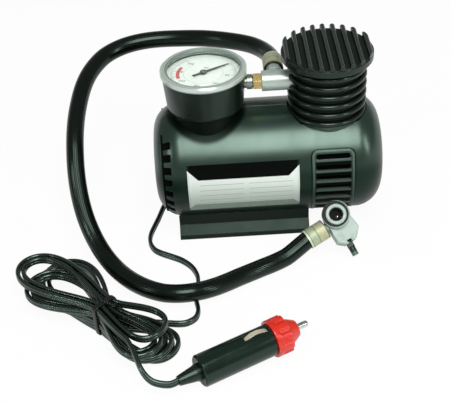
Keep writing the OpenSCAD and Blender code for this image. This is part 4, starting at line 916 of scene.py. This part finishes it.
def stem_finish():
    """The gauge's stem: silvered collar at the case, then the yellow brass nut."""
    finish = Finish("stem_brass", Metallic=0.75)
    x = finish.axes()[0]
    streaks = finish.noise(0.6)
    yellow = finish.mix(streaks, linear(176, 150, 84), linear(222, 202, 142))
    grey = finish.mix(streaks, linear(112, 122, 112), linear(168, 178, 166))
    base = finish.mix(finish.step(x, NUT_X + 0.1, NUT_X + 0.5), grey, yellow)
    base = finish.paint(base, finish.band(x, NUT_X, NUT_X + 0.45, 0.08), 0.85, linear(22, 22, 14))
    normal, rim = finish.edges(0.3)
    base = finish.paint(base, rim, 0.4, linear(236, 226, 180))
    return finish.done(base, finish.uneven(0.2, 0.18, 0.5), streaks, 0.006, 0.5, normal)


def bezel_finish():
    """Silvered rim with turned lines, dark where it meets the lens and low on its side."""
    finish = Finish("bezel_silvering", Metallic=0.35)
    x, y, z = finish.axes()
    radius = finish.length(finish.minus(x, GAUGE_X), y)
    streaks = finish.noise(0.12)
    base = finish.mix(streaks, linear(190, 206, 196), linear(214, 226, 217))
    rings = finish.band(radius, 23.15, 23.4, 0.06)
    rings = finish.larger(rings, finish.band(radius, 24.35, 24.55, 0.06))
    rings = finish.larger(rings, finish.band(z, 101.2, 101.6, 0.08))
    by_lens = finish.step(radius, 22.4, 22.75, 1.0, 0.0)
    base = finish.paint(base, rings, 0.62, linear(92, 112, 100))
    base = finish.paint(base, by_lens, 0.7, linear(104, 124, 112))
    height = finish.minus(finish.times(streaks, 0.5), finish.times(rings, 2.0))
    return finish.done(base, finish.uneven(0.16, 0.08, 0.3), height, 0.006, 0.3)


# The label's middle, half width and radius, then its bands by their place up round the casing.
LABEL_X = -15.75
LABEL_HALF = 32.75
LABEL_R = 35.2
BLACK_FROM = 7.25
BLACK_CUT = 6.3
GREEN_BELOW = -10.5
GREEN_CUT = 3.6
RULES = (3.9, 0.3, -3.3, -6.9)


def label_finish():
    """A plain film: black above, white with fine ruled lines between, grey-green below."""
    finish = Finish("label_film")
    x, y, z = finish.axes()
    height = finish.minus(z, CASING_AXIS_Z)
    along = finish.times(finish.math("ARCTAN2", height, finish.times(y, -1.0)), LABEL_R)
    inside = finish.minus(LABEL_HALF, finish.away(x, LABEL_X))
    mottle = finish.noise(0.35)
    # Painted shade: the white darkens towards the bottom of the label.
    white = finish.mix(
        finish.step(along, -10.0, 8.0), linear(190, 204, 194), linear(228, 238, 230)
    )
    white = finish.paint(white, mottle, 0.14, linear(160, 176, 164))
    green = finish.mix(mottle, linear(112, 134, 116), linear(138, 158, 142))
    black = finish.mix(mottle, linear(3, 6, 4), linear(9, 14, 11))
    cut_high = finish.larger(finish.minus(BLACK_CUT, inside), 0.0)
    black_top = finish.step(finish.minus(along, cut_high), BLACK_FROM, BLACK_FROM + 0.25)
    cut_low = finish.larger(finish.minus(GREEN_CUT, inside), 0.0)
    green_low = finish.step(finish.plus(along, cut_low), GREEN_BELOW - 0.25, GREEN_BELOW, 1.0, 0.0)
    rules = 0.0
    for level in RULES:
        rules = finish.larger(rules, finish.band(along, level - 0.12, level + 0.12, 0.06))
    rules = finish.times(rules, finish.band(finish.away(x, LABEL_X + 1.5), 1.6, 27.5, 0.06))
    key = finish.times(finish.band(along, -9.6, -9.4, 0.06), finish.step(inside, 3.0, 3.2))
    base = finish.paint(white, finish.larger(rules, key), 0.75, linear(96, 112, 100))
    base = finish.mix(green_low, base, green)
    base = finish.mix(black_top, base, black)
    rim = finish.band(inside, 0.5, 0.8, 0.08)
    base = finish.paint(base, rim, 0.25, linear(90, 104, 94))
    rough = finish.uneven(0.26, 0.2, 0.2)
    gloss = finish.minus(0.22, finish.times(black_top, 0.18))
    ripple = finish.noise(0.12, 2.0, 0.5)
    return finish.done(base, rough, ripple, 0.12, 0.5, Specular_IOR_Level=gloss)


# The dial: its card's height, the angle of zero, the sweep, and the way its words face.
DIAL_TOP = 99.6
ZERO = 30.0
SWEEP = 270.0
DIAL_UP = -105.0
# Each ring of ticks: pitch, inner and outer radius, half width.
TICKS = ((SWEEP / 60, 17.4, 18.9, 0.09), (SWEEP / 12, 16.4, 18.9, 0.16))
NUMBERS_R = 14.2
UNIT_R = 6.5


def dial_finish():
    """White card: fine ticks clockwise from zero, thin rings and a red arc near the end."""
    finish = Finish("dial_card", Specular_IOR_Level=0.3)
    x, y, _ = finish.axes()
    out = finish.minus(x, GAUGE_X)
    radius = finish.length(out, y)
    turn = finish.times(finish.math("ARCTAN2", y, out), DEGREES)
    swept = finish.math("FLOORED_MODULO", finish.minus(ZERO, turn), 360.0)
    marks = finish.larger(
        finish.band(radius, 18.85, 19.05, 0.05), finish.band(radius, 11.5, 11.62, 0.05)
    )
    for pitch, r0, r1, half in TICKS:
        part = finish.math("PINGPONG", swept, pitch / 2)
        across = finish.times(finish.times(part, radius), 1 / DEGREES)
        mark = finish.step(across, half - 0.04, half + 0.06, 1.0, 0.0)
        marks = finish.larger(marks, finish.times(mark, finish.band(radius, r0, r1, 0.06)))
    marks = finish.times(marks, finish.band(swept, -0.4, SWEEP + 0.4, 0.2))
    card = finish.mix(finish.noise(0.25), linear(218, 226, 219), linear(238, 244, 238))
    # Painted shade: the card darkens towards its outer edge, next to the bezel.
    card = finish.mix(finish.step(radius, 17.5, 22.0, 0.0, 0.35), card, linear(170, 184, 174))
    base = finish.paint(card, marks, 0.8, linear(70, 84, 76))
    red = finish.times(finish.band(radius, 14.0, 16.1, 0.1), finish.band(swept, 193.0, 244.0, 0.6))
    base = finish.paint(base, red, 0.92, linear(206, 44, 60))
    return finish.done(base, 0.5, finish.noise(2.5, 2.0, 0.5), 0.01, 0.4)


def lens_finish():
    """Clear plastic with a faint smear."""
    finish = Finish("lens_clear", Transmission_Weight=1.0, IOR=1.2,
                    Base_Color=(0.97, 0.99, 0.975, 1.0))
    finish.set(Roughness=finish.step(finish.noise(0.2), 0.3, 0.8, 0.01, 0.06))
    return finish


def plain_text(name, words, size, places):
    """Words laid flat on the dial, each centred at its place and upright to the dial."""
    verts, faces = [], []
    turn = math.radians(DIAL_UP - 90)
    c, s = math.cos(turn), math.sin(turn)
    for word, (px, py, pz) in zip(words, places):
        curve = bpy.data.curves.new(name, "FONT")
        curve.body = word
        curve.size = size
        curve.align_x, curve.align_y = "CENTER", "CENTER"
        curve.resolution_u = 3
        curve.extrude = 0.03
        letters = add(name, curve)
        mesh = evaluated_mesh(letters)
        start = len(verts)
        for x, y, z in (v.co for v in mesh.vertices):
            verts.append((px + x * c - y * s, py + x * s + y * c, pz + z))
        faces += [[start + i for i in face.vertices] for face in mesh.polygons]
        bpy.data.objects.remove(letters)
        bpy.data.curves.remove(curve)
        bpy.data.meshes.remove(mesh)
    return put(name, verts, faces, "root")


def on_dial(angle, radius):
    """A place just over the card."""
    a = math.radians(angle)
    return (GAUGE_X + radius * math.cos(a), radius * math.sin(a), DIAL_TOP + 0.02)


scale_numbers = plain_text("dial_numbers", [str(50 * i) for i in range(7)], 2.7,
                           [on_dial(ZERO - SWEEP * (i / 6), NUMBERS_R) for i in range(7)])
unit_word = plain_text("dial_unit", ["psi"], 2.6, [on_dial(75, UNIT_R)])

# ---- which finish goes where ----
give(casing_finish(), "front_shell", "rear_shell")
give(cover_finish(), "fin_cover", "top_cap")
give(label_finish(), "front_label")
give(plug_finish(), "plug_body")
give(lever_finish(), lever_sleeve)
give(collar_finish(), "chuck_collar")
give(ferrule_finish(), "hose_ferrules")
give(stem_finish(), "gauge_socket")
give(bezel_finish(), "gauge_bezel")
give(dial_finish(), "gauge_dial")
give(lens_finish(), "gauge_lens")
give(skin("cord_pvc", linear(9, 18, 13), 0.24, 1.0, 0.002), power_cord)
give(skin("hose_rubber", linear(7, 11, 8), 0.2, 0.35, 0.012), hose)

give(moulded("black_plastic", linear(10, 19, 14), 0.3, tint=GREEN_GLOSS, edge=0.4,
             wear_and_highlight=linear(70, 84, 74)), "gauge_case", "cord_gland", "plug_relief")
give(moulded("stand_plastic", linear(8, 16, 12), 0.32, edge=0.7, tint=GREEN_GLOSS, specular=0.2,
             wear_and_highlight=linear(130, 146, 134), worn_share=0.4, dust=0.08), "stand")
give(moulded("pad_rubber", linear(28, 32, 29), 0.75, grain=0.05, grain_scale=1.2, specular=0.3),
     "stand_pads")
give(moulded("grommet_rubber", linear(24, 27, 25), 0.6, specular=0.2, worn_share=0.1),
     "chuck_grommet")
give(moulded("seal_rubber", linear(34, 33, 32), 0.6, specular=0.3), "piston_seal")
# The plunger is coloured near-black with almost no gloss as painted shade deep in the chuck's
# mouth.
give(moulded("mouth_shade_black", linear(7, 10, 8), 0.5, spread=0.5, edge=0.2, worn_share=0.1,
             specular=0.08), "chuck_plunger")
give(moulded("red_nose", linear(214, 44, 26), 0.22, spread=0.12, edge=0.5, grain=0.015,
             specular=0.6, wear_and_highlight=linear(255, 150, 128), worn_share=0.3), nose_moulding)
give(moulded("tie_pvc", linear(8, 14, 10), 0.4, spread=0.2, edge=0.2, worn_share=0.0), *tie)
# Near-black, nearly matt sheets that stand in for the shade inside the casing.
give(moulded("vent_shade_black", linear(3, 5, 4), 0.8, spread=0.2, grain=0.3, specular=0.05,
             worn_share=0.0), *shade_sheets)
give(moulded("dial_ink", linear(54, 66, 59), 0.5, spread=0.12, grain=0.01, edge=0.05,
             worn_share=0.0), scale_numbers, unit_word)
give(moulded("pointer_paint", linear(58, 68, 63), 0.45, edge=0.15), "gauge_pointer")
give(moulded("carbon", linear(30, 30, 32), 0.55, grain=0.03), "motor_brushes")
give(moulded("brown_phenolic", linear(58, 44, 34), 0.45, grain=0.03), "motor_end_bell")

give(metal("steel", linear(196, 202, 198), 0.24, stain=linear(120, 126, 120)),
     "casing_screws", "head_screws", "outlet_reed", "crank_pin", "crank_gear", "crank_shaft",
     "motor_shaft", "motor_can", "chuck_pin", "valve_plate")
give(metal("bright_plating", linear(212, 222, 214), 0.2, spread=0.08, grain=0.002,
           stain=linear(170, 178, 170)), valve_pin, "plug_contact", "plug_fuse", "plug_spring")
give(metal("contact_plating", linear(214, 208, 184), 0.3, spread=0.1, grain=0.003, metallic=0.35,
           edge=0.15, stain=linear(168, 158, 128)), "side_contact_upper", "side_contact_lower")
give(metal("satin_silver", linear(186, 200, 192), 0.34, spread=0.06, grain=0.003, metallic=0.4,
           stain=linear(150, 166, 156), stain_share=0.3), "outlet_manifold", "hose_tail")
give(metal("brass", linear(214, 190, 122), 0.28, grain=0.002, stain=linear(128, 104, 52),
           stain_share=0.4), "gauge_arbor", "gauge_sector", "gauge_link", "bourdon_tube",
     "movement_frame", "shaft_bushes", "motor_pinion")
give(metal("cast_alloy", linear(160, 178, 168), 0.42, grain=0.05, scale=0.9, edge=0.6,
           spread=0.08, metallic=0.06, stain=linear(138, 156, 146), stain_share=0.4),
     chuck_casting)
give(metal("cast_aluminium", linear(176, 180, 176), 0.45, grain=0.06, scale=0.8,
           stain=linear(120, 124, 120)),
     "cylinder_barrel", "cylinder_head", "gearbox_frame", "piston_rod")
give(metal("copper_winding", linear(190, 108, 66), 0.3, stretch=(1, 8, 8), grain=0.05),
     "motor_rotor")


# ---- stage and light ----
PALE_SHARE = 0.94
FLOOR_R = 6.0
FLOOR_CORNERS = 64


def seen_level(tree, plain, mirrored):
    """1 for the camera and through glass, one level for reflections, another for the rest."""
    path = tree.nodes.new("ShaderNodeLightPath")
    level = plain
    rays = (("Is Glossy Ray", mirrored), ("Is Transmission Ray", 1.0), ("Is Camera Ray", 1.0))
    for ray, value in rays:
        mixed = tree.nodes.new("ShaderNodeMix")
        for place, given in ((0, path.outputs[ray]), (2, level), (3, value)):
            feed(tree, mixed.inputs[place], given)
        level = mixed.outputs[0]
    return level


def studio_world():
    """A white backdrop that lights the object weakly and is dimmer overhead in reflections."""
    world = bpy.data.worlds.new("studio")
    world.use_nodes = True
    tree = world.node_tree
    backdrop = tree.nodes["Background"]
    backdrop.inputs["Color"].default_value = (1, 1, 1, 1)
    way_up = tree.nodes.new("ShaderNodeSeparateXYZ")
    coords = tree.nodes.new("ShaderNodeTexCoord")
    tree.links.new(coords.outputs["Generated"], way_up.inputs[0])
    overhead = tree.nodes.new("ShaderNodeMapRange")
    overhead.interpolation_type = "SMOOTHSTEP"
    tree.links.new(way_up.outputs[2], overhead.inputs["Value"])
    for key, value in (("From Min", 0.0), ("From Max", 0.25), ("To Min", 1.0), ("To Max", 0.25)):
        overhead.inputs[key].default_value = value
    level = seen_level(tree, 0.28, overhead.outputs["Result"])
    tree.links.new(level, backdrop.inputs["Strength"])
    return world


def paper_floor():
    """A pale round floor that keeps some of the object's shadow."""
    mesh = bpy.data.meshes.new("floor")
    turns = [2 * math.pi * i / FLOOR_CORNERS for i in range(FLOOR_CORNERS)]
    outline = [(FLOOR_R * math.cos(a), FLOOR_R * math.sin(a), 0.0) for a in turns]
    mesh.from_pydata(outline, [], [list(range(FLOOR_CORNERS))])
    material = bpy.data.materials.new("floor_paper")
    material.use_nodes = True
    tree = material.node_tree
    tree.nodes.clear()
    paper = tree.nodes.new("ShaderNodeBsdfDiffuse")
    paper.inputs["Color"].default_value = (0.94, 0.94, 0.94, 1)
    glow = tree.nodes.new("ShaderNodeEmission")
    glow.inputs["Color"].default_value = (1, 1, 1, 1)
    blend = tree.nodes.new("ShaderNodeMixShader")
    out = tree.nodes.new("ShaderNodeOutputMaterial")
    share = tree.nodes.new("ShaderNodeMath")
    share.operation = "MULTIPLY"
    share.inputs[1].default_value = PALE_SHARE
    feed(tree, share.inputs[0], seen_level(tree, 0.0, 0.55))
    for place, made in enumerate((share, paper, glow)):
        feed(tree, blend.inputs[place], made.outputs[0])
    feed(tree, out.inputs[0], blend.outputs[0])
    mesh.materials.append(material)
    return add("floor", mesh)


def lamp(name, place, target, width, height, power):
    data = bpy.data.lights.new(name, "AREA")
    data.shape = "RECTANGLE"
    data.size, data.size_y = width, height
    data.energy = power
    made = add(name, data)
    made.location = place
    way = Vector(target) - Vector(place)
    made.rotation_euler = way.to_track_quat("-Z", "Y").to_euler()


bpy.context.scene.world = studio_world()
floor = paper_floor()
lamp("softbox", (0.08, -0.6, 1.0), (0.0, 0.0, 0.07), 0.48, 0.74, 9.2)
lamp("strip_left", (-0.85, -0.52, 0.62), (-0.03, -0.03, 0.04), 0.08, 0.25, 1.2)
lamp("strip_right", (0.78, -0.62, 0.62), (-0.03, -0.03, 0.04), 0.08, 0.5, 2.4)


def corners(box):
    return [[float(c) for c in corner] for corner in box]
